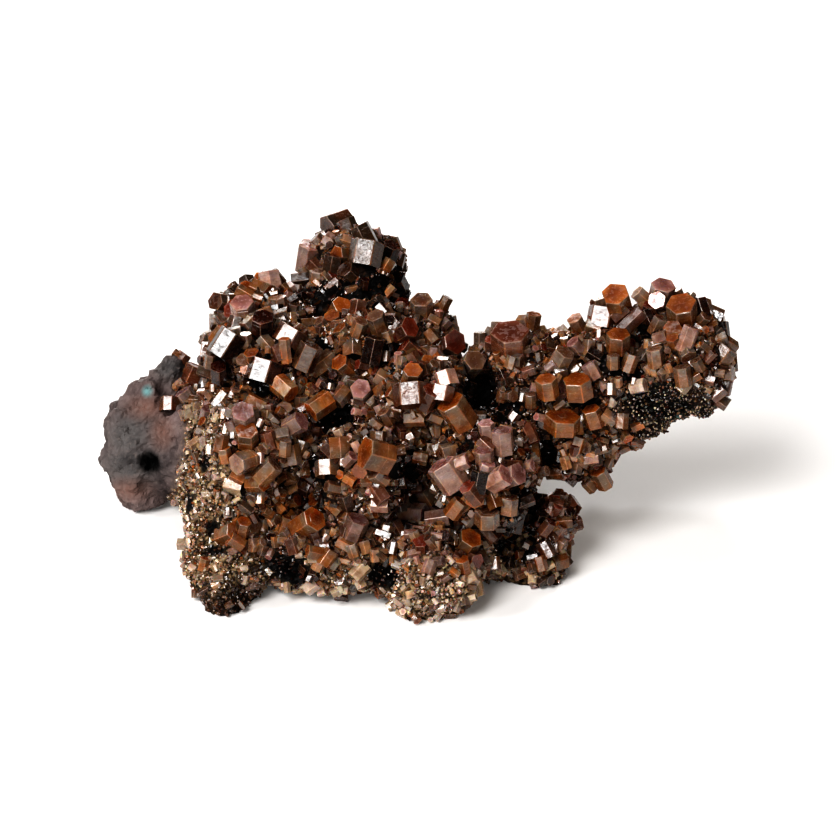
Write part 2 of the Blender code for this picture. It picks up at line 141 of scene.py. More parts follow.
Lobe = namedtuple("Lobe", "across down toward half_width half_height half_depth")
Hollow = namedtuple("Hollow", "across down half_width half_height half_depth")
Patch = namedtuple("Patch", "across down half_width half_height")
Tint = namedtuple("Tint", "prism basal clear")
Shape = namedtuple("Shape", "verts faces kinds")
Growth = namedtuple("Growth", "shape middle turned width tint group")
Crystal = namedtuple("Crystal", "across down width tint length lean rise", defaults=(None,) * 3)

LOBES = [
    # the body of the rock
    Lobe(33, 45, -5, 15, 10, 9),
    Lobe(36, 42, -14, 13, 9, 8),
    Lobe(24, 49, -1.5, 6.0, 9, 7),
    # bulges of its front, from left to right
    Lobe(26, 45, 3, 5.5, 5, 4.5),
    Lobe(36.5, 47, 4.5, 5.5, 4.5, 4),
    Lobe(42.5, 39, 1.5, 5, 3.5, 5),
    Lobe(48.5, 47, 3.5, 5, 6, 5),
    # left foot
    Lobe(21.2, 55.5, 1, 2.4, 3.0, 3),
    Lobe(22.9, 58.2, 2.5, 3.2, 3.6, 4),
    # low front, and its rounded lobe
    Lobe(33.6, 55.3, 2, 8.5, 4.2, 5),
    Lobe(43.0, 57.3, 4, 4.7, 5, 5),
    # right foot, and the ledge over it
    Lobe(54.6, 51.5, -1.5, 3.0, 2.1, 3.0),
    Lobe(48.5, 54.5, 0, 3, 3.5, 4),
    Lobe(53, 54.4, -2.5, 4.1, 5.0, 4.5),
    # the arm, from its root to its tip
    Lobe(53, 39.1, -2, 7, 6.2, 6),
    Lobe(61.5, 38.2, -1.5, 7, 6.3, 5),
    Lobe(67.6, 36.3, -1, 5.5, 6.1, 5),
    Lobe(57.2, 44.6, -1, 4.3, 3.1, 3.5),
    # crest, and the ridge and knob behind it
    Lobe(27, 36.5, -3, 6.6, 4.8, 5),
    Lobe(38, 35, -4, 8, 4.4, 5),
    Lobe(27, 31.5, -10, 5.8, 3.0, 5),
    Lobe(43.2, 32.3, -5, 1.7, 1.6, 2),
    Lobe(35.4, 26.6, -15, 4.9, 4.1, 5),
    Lobe(36, 31, -12, 5.2, 5.5, 6),
    Lobe(35.5, 34.5, -17.5, 6.5, 6, 5),
    # the bare lump at the back left, and the small knob on it
    Lobe(14.0, 45.0, -14, 4.3, 6.3, 5.5),
    Lobe(15.8, 40.8, -13.5, 3.2, 4.0, 4),
    Lobe(17, 37.6, -12.5, 2.0, 2.0, 2),
    Lobe(19, 45, -11, 4, 6, 5),
]
BROKEN_BACK = Lobe(36, 47, -69, 48, 38, 50)
# Hollows in the rock, painted black inside as shade.
HOLLOW_ROWS = [
    (32.4, 36.0, 0.9, 2.0, 1.8), (34.0, 41.8, 1.8, 1.4, 2.2), (22.7, 37.8, 1.0, 1.2, 1.2),
    (26.8, 38.6, 1.2, 1.0, 1.3), (31.8, 47.8, 1.1, 2.2, 1.8), (41.2, 47.6, 1.4, 2.6, 2.4),
    (48.2, 39.2, 1.8, 2.4, 3.0), (54.7, 45.6, 1.2, 1.5, 1.8), (51.5, 54.2, 2.0, 2.0, 2.4),
    (52.6, 50.6, 1.4, 1.6, 2.2), (64.3, 33.4, 1.2, 1.0, 1.4), (64.6, 40.4, 1.6, 1.3, 1.6),
    (67.4, 41.0, 1.8, 1.1, 1.4), (29.3, 57.4, 1.6, 1.2, 2.2), (38.5, 57.6, 1.5, 1.3, 2.2),
    (15.1, 46.2, 1.0, 0.9, 1.6),
]
HOLLOWS = [Hollow(*row) for row in HOLLOW_ROWS]

# Patches of the chart where the rock or its crust is of another kind: the middle, across
# and down, and half of the width and of the height.
PATCHES = {
    "bare": [(12.4, 43.5, 6.2, 9.4), (16.9, 36.9, 1.7, 1.6)],
    "slate": [(12.8, 43.6, 2.8, 2.6), (13.0, 46.4, 3.8, 2.4), (17.0, 36.8, 2.0, 1.4)],
    "rust": [(16.2, 43.2, 0.9, 1.3), (12.9, 49.0, 1.7, 0.9), (14.6, 40.8, 1.6, 0.9)],
    "turquoise": [(14.7, 39.1, 0.45, 0.45), (67.9, 41.9, 0.35, 0.3)],
    "gold": [
        (20.3, 49.5, 3.4, 9.5), (22.5, 57.0, 4.6, 2.2), (33.0, 57.8, 8.5, 2.2), (43.0, 59.0, 6.0, 3.4),
        (52.4, 55.8, 4.0, 2.4),
    ],
    "fine": [(20.3, 49.5, 3.4, 9.5), (22.5, 58.5, 5.0, 3.4), (51.6, 41.6, 2.6, 2.0)],
    "cream": [(42.6, 58.4, 4.4, 3.4)],
    "dull": [(23.0, 60.0, 4.6, 1.9)],
    "amber": [
        (60.0, 31.5, 1.6, 2.0), (68.5, 32.6, 2.6, 1.6), (56.0, 33.4, 2.0, 1.2), (34.0, 33.5, 2.4, 2.0),
        (24.5, 39.0, 3.0, 1.4), (29.0, 51.5, 3.0, 1.6), (48.5, 37.0, 2.2, 1.2), (42.5, 44.5, 1.4, 1.6),
        (63.5, 42.8, 2.0, 1.2),
    ],
    "foot": [(55.4, 51.6, 3.4, 3.6)],
    "grain": [(66.6, 41.4, 5.2, 2.8)],
    # Black rock and painted shade between the crystals, on faces towards the eye.
    "black": [
        (19.3, 43.8, 0.4, 1.0), (20.5, 46.3, 0.5, 0.9), (21.3, 52.8, 0.9, 0.7), (21.6, 55.1, 1.1, 0.5),
        (18.9, 50.3, 0.4, 1.2), (39.0, 27.4, 2.6, 3.8), (34.6, 29.4, 4.6, 1.5), (24.0, 33.6, 1.0, 1.8),
        (39.6, 35.8, 1.4, 1.6), (48.0, 39.2, 1.8, 2.6), (33.6, 42.0, 2.2, 1.4), (28.3, 56.6, 2.3, 1.3),
        (52.0, 50.6, 1.8, 2.6), (50.6, 41.2, 1.5, 1.2), (54.7, 45.2, 1.0, 1.8), (58.6, 40.2, 1.6, 0.8),
        (62.5, 37.4, 1.6, 0.9), (60.4, 36.0, 0.8, 1.4), (40.6, 47.4, 1.5, 1.6), (38.4, 57.4, 1.8, 1.0),
        (26.6, 38.4, 1.6, 1.0), (46.5, 44.8, 0.9, 1.2), (32.5, 36.6, 1.2, 2.0),
    ],
}

# How soft the borders of the patches are that the rock's own look shows.
BORDERS = {"bare": 0.12, "gold": 0.25, "foot": 0.25, "slate": 0.6, "rust": 0.8, "turquoise": 0.5}

# Colours of the prism faces and of the flat ends, for each kind of crystal, and how far
# it lets light in, which sets how much painted glow it takes.
TINTS = {
    "o": Tint((0.138, 0.092, 0.056), (0.27, 0.098, 0.022), 1.0),
    "r": Tint((0.090, 0.048, 0.033), (0.16, 0.038, 0.017), 0.6),
    "p": Tint((0.235, 0.170, 0.150), (0.32, 0.190, 0.175), 0.3),
    "w": Tint((0.130, 0.080, 0.062), (0.17, 0.062, 0.038), 0.7),
    "t": Tint((0.138, 0.111, 0.091), (0.170, 0.106, 0.068), 0.8),
    # The dark tints k and d serve partly as painted shade, for crystals that stand in shade.
    "k": Tint((0.016, 0.008, 0.006), (0.034, 0.009, 0.005), 0.3),
    "d": Tint((0.055, 0.038, 0.028), (0.072, 0.038, 0.024), 0.6),
    "g": Tint((0.29, 0.238, 0.175), (0.30, 0.238, 0.175), 0.2),
    "c": Tint((0.34, 0.288, 0.245), (0.36, 0.288, 0.245), 0.1),
    "m": Tint((0.030, 0.036, 0.024), (0.06, 0.066, 0.034), 0.0),
}
# Painted glow: the amber that stands in for light that has passed far into a crystal, and the share of it
# that the prism sides take.
AMBER = (1.6, 0.80, 0.13)
CLEAR_SIDES = 0.65
# Painted highlight: the light colour that edge faces lean towards, and how far they do.
EDGE_HIGHLIGHT = (0.32, 0.21, 0.15)
EDGE_HIGHLIGHT_SHARE = 0.2
WALL_SHADE = 0.7
# How much each crystal differs from its tint, more for those narrower than a width.
OWN_SPREAD = 0.2
NARROW_SPREAD = 0.36
NARROW = 1.2
FACE_SPREAD = (0.85, 1.15)

# The crystals that can be told apart. Each row: across, down, width, tint and, where it
# leans, length, lean and rise in degrees. A crystal that glints has, in place of its rise,
# what glints: a side, its end, or a side that does so faintly.
CRYSTAL_ROWS = {
    "left_crest": [
        (22.7, 34.3, 3.1, "k", 2.5, 58, "side"), (26.3, 32.5, 2.6, "k", 2.2, 90, 40),
        (24.3, 31.0, 2.7, "p", 2.1, 100, 40), (24.6, 34.0, 1.3, "t", 1.4, 95, 25),
        (26.5, 37.0, 3.6, "k", 1.9, 75, "side"), (29.1, 33.5, 3.0, "r", 1.5, 60, "side"),
        (30.7, 35.5, 2.4, "d", 2.4, 65, 15), (28.5, 38.9, 2.2, "o", 1.9, 320, 25),
        (31.9, 40.6, 2.3, "o", 2.2, 215, 20), (30.0, 38.7, 1.0, "t"), (30.9, 39.2, 0.9, "o"),
        (29.4, 38.3, 0.8, "t"), (21.9, 37.2, 1.8, "k", 1.8, 90, 50), (21.0, 36.0, 1.2, "t", 1.4, 80, 30),
        (20.8, 34.2, 1.4, "t", 1.6, 150, 20), (28.0, 30.5, 1.8, "t", 1.7, 100, 20),
        (27.3, 29.2, 0.7, "t", 0.8, 90, "side"), (29.7, 31.5, 1.0, "t"), (25.2, 35.6, 1.6, "o"),
        (24.6, 37.0, 1.2, "o"), (27.5, 36.5, 1.2, "r"), (28.5, 35.0, 1.2, "o", 2.4, 95, 20),
        (30.3, 40.5, 0.8, "k"), (17.0, 40.3, 2.3, "r", 1.2, 90, "side"), (19.4, 37.2, 2.2, "r"),
        (18.3, 38.8, 1.4, "o"), (18.7, 39.5, 1.2, "t"), (19.5, 38.5, 1.0, "r"), (21.0, 38.2, 0.9, "o"),
        (21.3, 38.8, 0.7, "t", 0.7, 90, "side"), (20.7, 37.0, 0.7, "t", 0.7, 80, "side"),
    ],
    "middle_crest": [
        (34.0, 31.0, 2.2, "o", 1.7, 60, 50), (36.0, 32.5, 1.6, "t"), (37.8, 32.2, 2.0, "t", 2.0, 110, 40),
        (39.0, 32.2, 1.3, "k"), (38.6, 30.8, 1.2, "t"), (40.0, 30.8, 1.8, "r", 1.5, 60, 45),
        (40.5, 33.0, 2.4, "r", 1.8, 30, 45), (42.2, 30.5, 2.4, "t"), (44.4, 30.5, 1.3, "o", 1.8, 60, 10),
        (44.7, 32.3, 1.2, "p"), (38.7, 33.4, 1.1, "t"), (37.5, 34.5, 2.4, "k"), (33.5, 33.0, 0.8, "o"),
        (34.3, 33.3, 0.8, "t"), (35.0, 34.0, 0.8, "o"), (33.8, 34.2, 0.8, "t"), (33.0, 33.8, 0.8, "o"),
        (37.0, 35.8, 1.2, "r"), (38.6, 35.6, 0.9, "t", 1.0, 90, "side"),
        (39.8, 36.0, 0.9, "p", 1.6, 90, 30), (34.2, 36.5, 2.0, "o"), (35.0, 36.2, 1.0, "t"),
        (34.7, 37.8, 1.0, "t"), (36.0, 36.5, 1.2, "r"), (36.1, 39.2, 2.4, "p", 1.5, 100, 65),
        (37.2, 37.8, 1.0, "r"), (38.8, 37.5, 0.8, "t"), (33.3, 39.5, 0.9, "p"), (34.3, 39.0, 1.0, "t"),
        (35.5, 41.2, 0.9, "p"), (36.5, 41.0, 0.9, "p"), (37.8, 40.8, 0.9, "p"), (35.8, 42.0, 1.0, "p"),
        (38.5, 41.5, 1.4, "t"), (41.0, 39.3, 3.4, "r", 1.9, 95, "faint"),
        (41.2, 37.6, 2.0, "o", 2.0, 80, 50), (39.8, 37.6, 1.1, "t"), (39.5, 39.5, 1.4, "o", 1.6, 150, 20),
        (40.0, 41.0, 1.0, "t"), (32.7, 34.0, 0.6, "t", 0.6, 80, "side"),
        (32.5, 33.0, 0.6, "t", 0.6, 100, "side"), (33.0, 38.6, 0.6, "t", 0.6, 80, "side"),
        (35.7, 34.2, 0.6, "t", 0.6, 70, "side"),
    ],
    "centre": [
        (44.1, 39.2, 2.6, "r", 1.3, 80, "side"), (44.6, 37.8, 2.4, "p", 1.3, 110, "side"),
        (43.0, 39.5, 2.0, "r"), (45.7, 41.1, 3.0, "o", 2.8, 125, 30), (43.8, 42.8, 1.1, "t", 1.5, 90, 30),
        (43.2, 41.7, 1.3, "t"), (40.8, 42.0, 1.0, "o"), (42.9, 44.8, 1.5, "o"), (46.0, 43.5, 1.0, "t"),
        (47.0, 36.7, 2.4, "t", 3.2, 50, 58), (45.5, 36.8, 1.0, "t"), (45.1, 34.4, 2.8, "r", 1.8, 20, 55),
        (48.0, 34.2, 1.4, "t", 2.0, 90, 10), (48.1, 36.0, 1.6, "r"), (51.0, 33.8, 4.2, "w", 1.6, 95, 35),
        (53.2, 32.5, 1.6, "o", 2.4, 80, 20), (52.6, 32.0, 1.2, "t"), (51.2, 36.0, 1.2, "t"),
        (49.7, 35.5, 0.9, "o"), (55.5, 33.8, 1.0, "k"), (54.7, 33.8, 1.0, "k"),
        (42.0, 43.0, 0.7, "t", 0.8, 80, "side"), (48.7, 43.0, 1.7, "p", 1.7, 100, 30),
        (50.3, 44.0, 2.2, "p", 2.2, 95, 25), (48.4, 44.3, 1.6, "r"), (48.4, 45.7, 2.0, "p", 1.6, 95, 30),
        (46.8, 45.5, 1.0, "o"), (48.7, 46.8, 1.8, "p"), (46.0, 46.3, 1.7, "p", 1.9, 20, 20),
        (44.8, 47.4, 3.0, "p", 2.6, 125, 15), (43.7, 48.8, 1.6, "t"), (43.0, 48.7, 1.0, "t"),
    ],
    "left": [
        (24.4, 41.6, 2.5, "p", 1.8, 100, 55), (23.2, 42.5, 1.4, "p"),
        (23.3, 43.4, 0.8, "t", 0.8, 90, "side"), (22.2, 44.0, 1.6, "o"), (22.4, 45.2, 1.4, "o"),
        (24.7, 43.5, 2.6, "o", 1.6, 90, 50), (26.0, 42.3, 0.8, "p", 0.8, 70, "side"),
        (26.8, 41.5, 1.4, "o"), (28.0, 41.2, 1.2, "o"), (28.7, 41.5, 0.8, "p"),
        (29.6, 42.4, 2.2, "p", 1.6, 30, 30), (26.8, 43.7, 1.6, "r"), (28.5, 44.7, 1.3, "t", 1.5, 85, 25),
        (30.2, 44.5, 1.4, "t"), (26.6, 44.7, 1.4, "t"), (24.3, 46.2, 2.4, "t", 1.8, 200, 40),
        (26.0, 45.8, 0.9, "p", 1.0, 90, "side"), (27.0, 46.8, 2.2, "t"), (23.5, 47.5, 1.4, "o"),
        (29.3, 47.7, 1.3, "t"), (30.5, 47.3, 1.2, "o"), (26.0, 48.3, 1.8, "o"),
        (26.0, 49.7, 1.0, "t", 1.2, 90, "side"), (28.3, 49.5, 1.0, "o"), (20.7, 41.2, 1.4, "p"),
        (20.5, 42.3, 1.4, "o"), (19.0, 40.8, 0.9, "t"),
    ],
    "middle": [
        (37.5, 45.5, 3.6, "o", 2.3, 165, 25), (37.8, 43.7, 1.8, "o"),
        (37.5, 42.5, 0.8, "t", 0.9, 80, "side"), (35.1, 45.8, 1.3, "p"), (38.3, 44.0, 1.0, "p"),
        (32.7, 46.7, 2.5, "t", 1.3, 95, "side"), (31.8, 47.0, 1.0, "p"),
        (34.3, 45.8, 0.8, "t", 1.4, 90, "side"), (33.0, 45.0, 2.0, "r"), (33.0, 48.7, 1.3, "t"),
        (34.8, 48.0, 1.2, "o"), (31.8, 48.8, 0.8, "t"), (31.0, 52.2, 2.8, "o"),
        (30.1, 52.8, 0.8, "t", 0.9, 100, "side"), (28.8, 52.3, 1.6, "o"), (30.2, 54.0, 1.0, "t"),
        (35.6, 52.5, 2.4, "p"), (37.7, 50.5, 1.6, "p"), (37.3, 49.3, 0.8, "t", 0.9, 80, "side"),
        (33.7, 51.0, 1.4, "o"), (39.5, 52.7, 1.6, "r"), (40.2, 52.1, 0.8, "t", 0.9, 90, "side"),
        (39.3, 54.8, 0.9, "t", 1.1, 80, "side"), (36.5, 54.5, 1.2, "t"), (35.2, 54.8, 1.2, "t"),
        (37.5, 55.2, 1.2, "t"), (31.2, 55.2, 1.6, "o"), (33.0, 55.5, 1.6, "o"), (32.0, 56.2, 1.2, "t"),
        (24.3, 52.7, 1.6, "o", 1.6, 75, 40), (23.3, 54.0, 1.5, "o"), (25.4, 54.5, 1.5, "t"),
        (20.5, 56.2, 1.2, "o"), (22.8, 51.1, 0.7, "t", 0.7, 90, "side"), (26.2, 54.3, 0.9, "t"),
    ],
    "right": [
        (49.9, 47.8, 2.4, "p", 1.8, 30, 30), (51.3, 47.6, 2.4, "p", 1.6, 20, 40), (48.0, 47.7, 2.0, "k"),
        (52.9, 46.6, 1.3, "p"), (47.2, 49.2, 2.0, "r", 1.8, 130, 30), (48.7, 51.6, 2.6, "t", 1.4, 90, 35),
        (50.9, 50.4, 2.0, "t", 1.5, 85, 20), (45.8, 50.5, 1.8, "o"),
        (44.5, 49.7, 0.8, "t", 0.9, 80, "side"), (41.8, 51.5, 2.4, "p"), (44.3, 51.9, 2.2, "p"),
        (44.6, 52.3, 0.7, "p", 0.8, 80, "side"), (46.8, 54.3, 2.4, "o", 1.8, 60, 45),
        (45.3, 54.0, 0.9, "t", 1.0, 100, "side"), (46.3, 56.3, 1.5, "o"), (43.0, 56.5, 1.4, "p"),
        (44.0, 56.2, 1.2, "p"), (48.2, 56.5, 1.2, "t"), (43.0, 54.0, 1.2, "t"), (41.5, 53.5, 1.2, "t"),
        (43.7, 54.3, 0.9, "t"),
    ],
    "right_foot": [
        (56.7, 52.1, 1.8, "o"), (54.8, 52.5, 1.4, "r"), (56.1, 54.3, 1.4, "t"), (54.4, 54.6, 1.6, "r"),
        (54.0, 56.0, 1.4, "o"), (55.7, 50.0, 1.6, "r"), (55.0, 49.8, 1.2, "r"), (56.2, 49.7, 1.2, "t"),
        (55.7, 50.8, 1.2, "r"), (52.7, 54.5, 1.1, "t"), (52.0, 55.5, 1.2, "o"), (50.8, 55.2, 1.2, "t"),
        (51.8, 57.5, 1.1, "t"), (55.8, 50.3, 0.6, "r", 0.6, 80, "side"),
        (55.6, 54.6, 0.6, "r", 0.6, 80, "side"), (53.6, 56.6, 0.6, "r", 0.6, 80, "side"),
    ],
    "arm": [
        (57.8, 32.5, 1.8, "o", 1.8, 120, 30), (60.3, 31.6, 3.3, "r", 1.7, 80, "side"),
        (59.9, 33.4, 0.8, "t", 0.8, 90, "side"), (61.7, 29.8, 3.0, "o", 1.4, 110, 50),
        (59.6, 30.4, 1.2, "t"), (64.0, 29.5, 1.6, "t"), (66.2, 29.1, 2.5, "p", 1.7, 80, 40),
        (66.0, 30.3, 1.9, "p", 3.6, 80, "end"), (63.3, 32.0, 1.9, "r", 2.8, 45, 10), (62.5, 31.0, 1.8, "r"),
        (64.7, 31.4, 1.4, "k"), (68.2, 31.0, 3.2, "o", 1.8, 100, 45), (70.0, 30.5, 1.8, "k"),
        (70.4, 31.8, 1.4, "t"), (67.9, 32.2, 0.8, "t"), (66.4, 32.2, 1.0, "t"),
        (68.8, 33.8, 1.8, "p", 2.4, 70, 10), (66.3, 33.7, 1.3, "p"), (67.3, 34.0, 1.5, "o"),
        (65.5, 35.6, 1.7, "t", 1.8, 100, 25), (64.8, 34.2, 0.9, "o"), (61.8, 34.1, 2.6, "o", 1.7, 90, 35),
        (61.3, 36.1, 1.3, "t", 1.3, 90, 20), (63.1, 35.9, 1.7, "t"), (60.0, 34.6, 0.8, "t"),
        (59.2, 35.3, 1.4, "k"), (59.0, 36.8, 1.6, "p"), (57.5, 34.5, 1.6, "p"),
        (56.2, 35.8, 2.2, "t", 1.6, 60, 30), (56.2, 37.1, 0.6, "t", 0.6, 80, "side"),
        (55.4, 37.7, 0.6, "t", 0.6, 80, "side"), (57.8, 38.6, 3.2, "o", 1.6, 100, 28),
        (54.7, 38.6, 2.4, "o", 1.7, 100, 30), (55.6, 38.1, 0.9, "t"), (53.4, 38.8, 1.1, "p"),
        (53.0, 39.9, 1.3, "t", 1.3, 90, 30), (51.1, 39.6, 1.3, "t"),
        (52.2, 39.7, 0.7, "t", 0.8, 80, "side"), (50.2, 39.5, 0.8, "p"),
        (56.2, 42.1, 3.6, "o", 1.2, 85, 30), (59.3, 41.6, 2.0, "o", 1.8, 110, 30),
        (57.8, 42.8, 1.0, "t", 1.1, 100, "side"), (58.5, 43.8, 0.7, "t", 0.8, 80, "side"),
        (61.1, 38.9, 1.1, "t", 1.1, 90, "side"), (61.8, 38.0, 0.9, "t"),
        (63.4, 38.1, 0.6, "t", 0.6, 80, "side"), (68.2, 37.2, 1.8, "t"), (69.7, 36.3, 1.2, "t"),
        (72.5, 35.4, 2.4, "t"), (71.2, 35.5, 1.1, "r"), (72.0, 32.8, 1.8, "k"), (71.8, 37.3, 0.9, "t"),
        (66.2, 37.2, 1.0, "t"), (65.4, 37.0, 0.9, "t"), (66.8, 36.6, 0.9, "t"), (72.6, 38.4, 1.4, "r"),
        (62.2, 41.8, 1.4, "t"), (63.5, 42.7, 1.2, "o"), (58.7, 44.8, 1.4, "t"),
        (69.3, 38.0, 0.6, "t", 0.6, 80, "side"), (58.8, 45.9, 1.4, "p"), (56.5, 46.0, 1.2, "t"),
        (60.1, 47.8, 1.8, "o", 1.8, 120, 30), (58.8, 48.4, 1.2, "t"),
        (56.7, 47.0, 0.7, "t", 0.7, 80, "side"), (57.5, 44.8, 1.0, "r"),
    ],
    # The knob takes the dark tints as painted shade.
    "knob": [
        (33.3, 22.5, 2.6, "d"), (36.2, 23.2, 2.4, "d"), (31.1, 25.2, 2.8, "p"), (33.3, 26.2, 2.2, "d"),
        (36.7, 25.2, 3.6, "d", 2.2, 80, "faint"), (34.0, 24.0, 1.6, "d"), (39.0, 25.0, 2.0, "k"),
        (36.5, 28.2, 1.0, "k"), (30.5, 28.0, 1.8, "d"), (31.8, 27.2, 1.2, "d"),
    ],
    # The ridge behind takes mostly dark tints, as painted shade.
    "back_ridge": [
        (27.0, 27.9, 2.4, "p"), (23.7, 29.2, 1.6, "d"), (21.9, 30.2, 2.0, "d"), (22.2, 31.8, 1.4, "d"),
        (24.6, 28.9, 1.6, "o"), (22.8, 29.6, 1.2, "r"),
    ],
}
CRYSTALS = [(group, Crystal(*row)) for group, rows in CRYSTAL_ROWS.items() for row in rows]

# Crystals that grow out of sight of the eye, over the top and round the back.
HIDDEN_SEED = 13
HIDDEN_TRIES = 3000
HIDDEN_CRYSTALS = 28
HIDDEN_WIDTHS = (1.5, 2.7)
HIDDEN_SPACING = 3.4
HIDDEN_JITTER = 0.4
HIDDEN_FLOOR = 6 * MM
HIDDEN_LEFT = -21 * MM
HIDDEN_UNDERSIDE = -0.1
HIDDEN_CUPPED_SHARE = 0.2

# Crystals sown between the listed ones. Each sowing says how many are tried and their
# widths; the least spacing of two, in their widths together; their length over their
# width; how far they tilt off the surface's normal; how far their middle is raised over
# the skin, in widths; and how much they are narrowed where the eye sees them. Then the
# shares that don't grow in the black, which counts as wider by kept_off, nor in fine
# patches, nor low down; how wide they are in fine patches, and the share that glints.
Sowing = namedtuple(
    "Sowing",
    "seed tries widths spacing aspect tilt raised narrowed"
    " off_black kept_off off_fine in_fine low sparkling",
)
MEDIUM = Sowing(
    9, 9000, (1.0, 2.2), 0.46, (0.45, 0.75), 1.0, (0.05, 0.3), 0,
    off_black=1, kept_off=0.6, off_fine=1, in_fine=1, low=1, sparkling=0.01,
)
SMALL = Sowing(
    3, 36000, (0.75, 1.8), 0.40, (0.5, 0.95), 1.0, (0.15, 0.45), 0.42,
    off_black=0.97, kept_off=0.2, off_fine=0.7, in_fine=0.8, low=0.8, sparkling=0.02,
)
CRUST = Sowing(
    5, 130000, (0.22, 0.46), 0.38, (0.5, 1.0), 1.6, (0.15, 0.6), 0,
    off_black=0.85, kept_off=0, off_fine=0, in_fine=1.0, low=0.3, sparkling=0.08,
)
# How many shapes they share, and what makes most of them narrow.
SHAPES_SOWN = 12
MOSTLY_NARROW = 1.8
NARROWED_IN_GRAIN = 0.3
# How far inside a crystal, across and along it, the tip of a sown one is out of sight.
BURIED_ACROSS = 0.85
BURIED_ALONG = 0.9
# Listed crystals keep this share of their width clear before them, on the near side.
KEPT_CLEAR = 0.42
NEAR_SIDE = 0.3
# How many fewer are sown on the far side and on the underside, and what counts as low.
FEWER_BEHIND = 0.75
FEWER_BELOW = 1.6
LOW_HEIGHT = 2.5 * MM
LEAST_HEIGHT = 0.3 * MM

# The studio, whose lights all face the specimen.
KEY_PLACE = Vector((-0.31, -0.46, 0.53))
Lamp = namedtuple("Lamp", "name place size power colour")
LAMPS = [
    Lamp("key window", KEY_PLACE, 0.36, 4.5, (1.0, 1.0, 1.0)),
    Lamp("soft overhead", Vector((-0.22, 0.06, 0.58)), 0.70, 0.3, (0.97, 0.98, 1.0)),
    Lamp("left window", Vector((-0.62, -0.16, 0.42)), 0.12, 1.0, (0.95, 0.97, 1.0)),
    Lamp("front window", Vector((0.08, -0.72, 0.34)), 0.12, 1.0, (0.95, 0.97, 1.0)),
    Lamp("top window", Vector((-0.05, 0.10, 0.80)), 0.12, 1.0, (0.95, 0.97, 1.0)),
    Lamp("low front", Vector((-0.14, -0.70, 0.14)), 0.34, 1.0, (1.0, 0.98, 0.95)),
    Lamp("back card", Vector((-0.10, 0.64, 0.17)), 0.32, 2.0, (1.0, 0.98, 0.95)),
    Lamp("side card", Vector((0.62, -0.10, 0.30)), 0.30, 0.12, (1.0, 0.97, 0.93)),
]
WORLD_COLOUR = (1.0, 0.72, 0.45)
WORLD_STRENGTH = 0.05
FLOOR_SIZE = 3.0
FLOOR_COLOUR = (0.80, 0.79, 0.78)


# --- The chart ---


def chart_axes():
    """Unit vectors to the chart's right, up the chart, and out of it to the eye."""
    right = Vector((1, 0, 0))
    out = Vector((0, -math.cos(EYE_RISE), math.sin(EYE_RISE)))
    return right, out.cross(right), out


RIGHT, UP, OUT = chart_axes()
EYE = CHART_MIDDLE + OUT * EYE_DISTANCE


def charted(across, down, toward=0.0):
    """The place seen at a point of the chart, at a depth in millimetres."""
    from_middle = RIGHT * (across - CHART_SIZE / 2) + UP * (CHART_SIZE / 2 - down)
    on_chart = CHART_MIDDLE + from_middle * MM
    return EYE + (on_chart - EYE) * (1 - toward * MM / EYE_DISTANCE)


def chart_places(points):
    """Where the eye sees an array of points: millimetres across and down the chart."""
    from_eye = points - np.array(EYE)
    distance = -from_eye @ np.array(OUT)
    scale = EYE_DISTANCE / distance / MM
    across = CHART_SIZE / 2 + from_eye @ np.array(RIGHT) * scale
    down = CHART_SIZE / 2 - from_eye @ np.array(UP) * scale
    return across, down


def inside(kinds, points, soft=0.25, wider=0.0):
    """How far inside the patches of some kinds each point is, from 0 to 1, with soft borders."""
    across, down = chart_places(points)
    best = np.zeros(len(points))
    for patch in [Patch(*row) for kind in kinds.split() for row in PATCHES[kind]]:
        wide = (across - patch.across) / (patch.half_width + wider)
        high = (down - patch.down) / (patch.half_height + wider)
        depth = (1 + soft - np.hypot(wide, high)) / (2 * soft)
        best = np.maximum(best, np.clip(depth, 0, 1))
    return best


# --- The rock ---


def hidden_collection():
    made = bpy.data.collections.new("guides")
    bpy.context.scene.collection.children.link(made)
    made.hide_render = True
    return made


def placed(name, data, collection=None):
    """A new object in the guides' collection, or else in the scene's own."""
    made = bpy.data.objects.new(name, data)
    (collection or bpy.context.scene.collection).objects.link(made)
    return made


def placed_bmesh(name, bm, collection=None):
    mesh = bpy.data.meshes.new(name)
    bm.to_mesh(mesh)
    bm.free()
    return placed(name, mesh, collection)


def baked(source):
    """The object's mesh with its modifiers carried out, as a new mesh."""
    bpy.context.view_layer.update()
    graph = bpy.context.evaluated_depsgraph_get()
    return bpy.data.meshes.new_from_object(source.evaluated_get(graph))


def ellipsoids(name, shapes, places, collection):
    """One object holding an ellipsoid for each shape, squared to the chart."""
    squared = Matrix((RIGHT, UP, OUT)).transposed().to_4x4()
    bm = bmesh.new()
    for place, shape in zip(places, shapes):
        halves = Vector((shape.half_width, shape.half_height, shape.half_depth)) * MM
        matrix = Matrix.Translation(place) @ squared @ Matrix.Diagonal((*halves, 1))
        bmesh.ops.create_icosphere(bm, subdivisions=3, radius=1, matrix=matrix)
    return placed_bmesh(name, bm, collection)


def modify(target, name, kind, **settings):
    modifier = target.modifiers.new(name, kind)
    for setting, value in settings.items():
        setattr(modifier, setting, value)


def cut_with(target, cutter, joins_own=False):
    """Cuts a shape away, after joining the shape's own parts where they overlap."""
    cut = {"operation": "DIFFERENCE", "solver": "EXACT", "use_self": joins_own}
    modify(target, "without " + cutter.name, "BOOLEAN", object=cutter, **cut)


def even_out(target, voxel):
    modify(target, "even skin", "REMESH", mode="VOXEL", voxel_size=voxel)


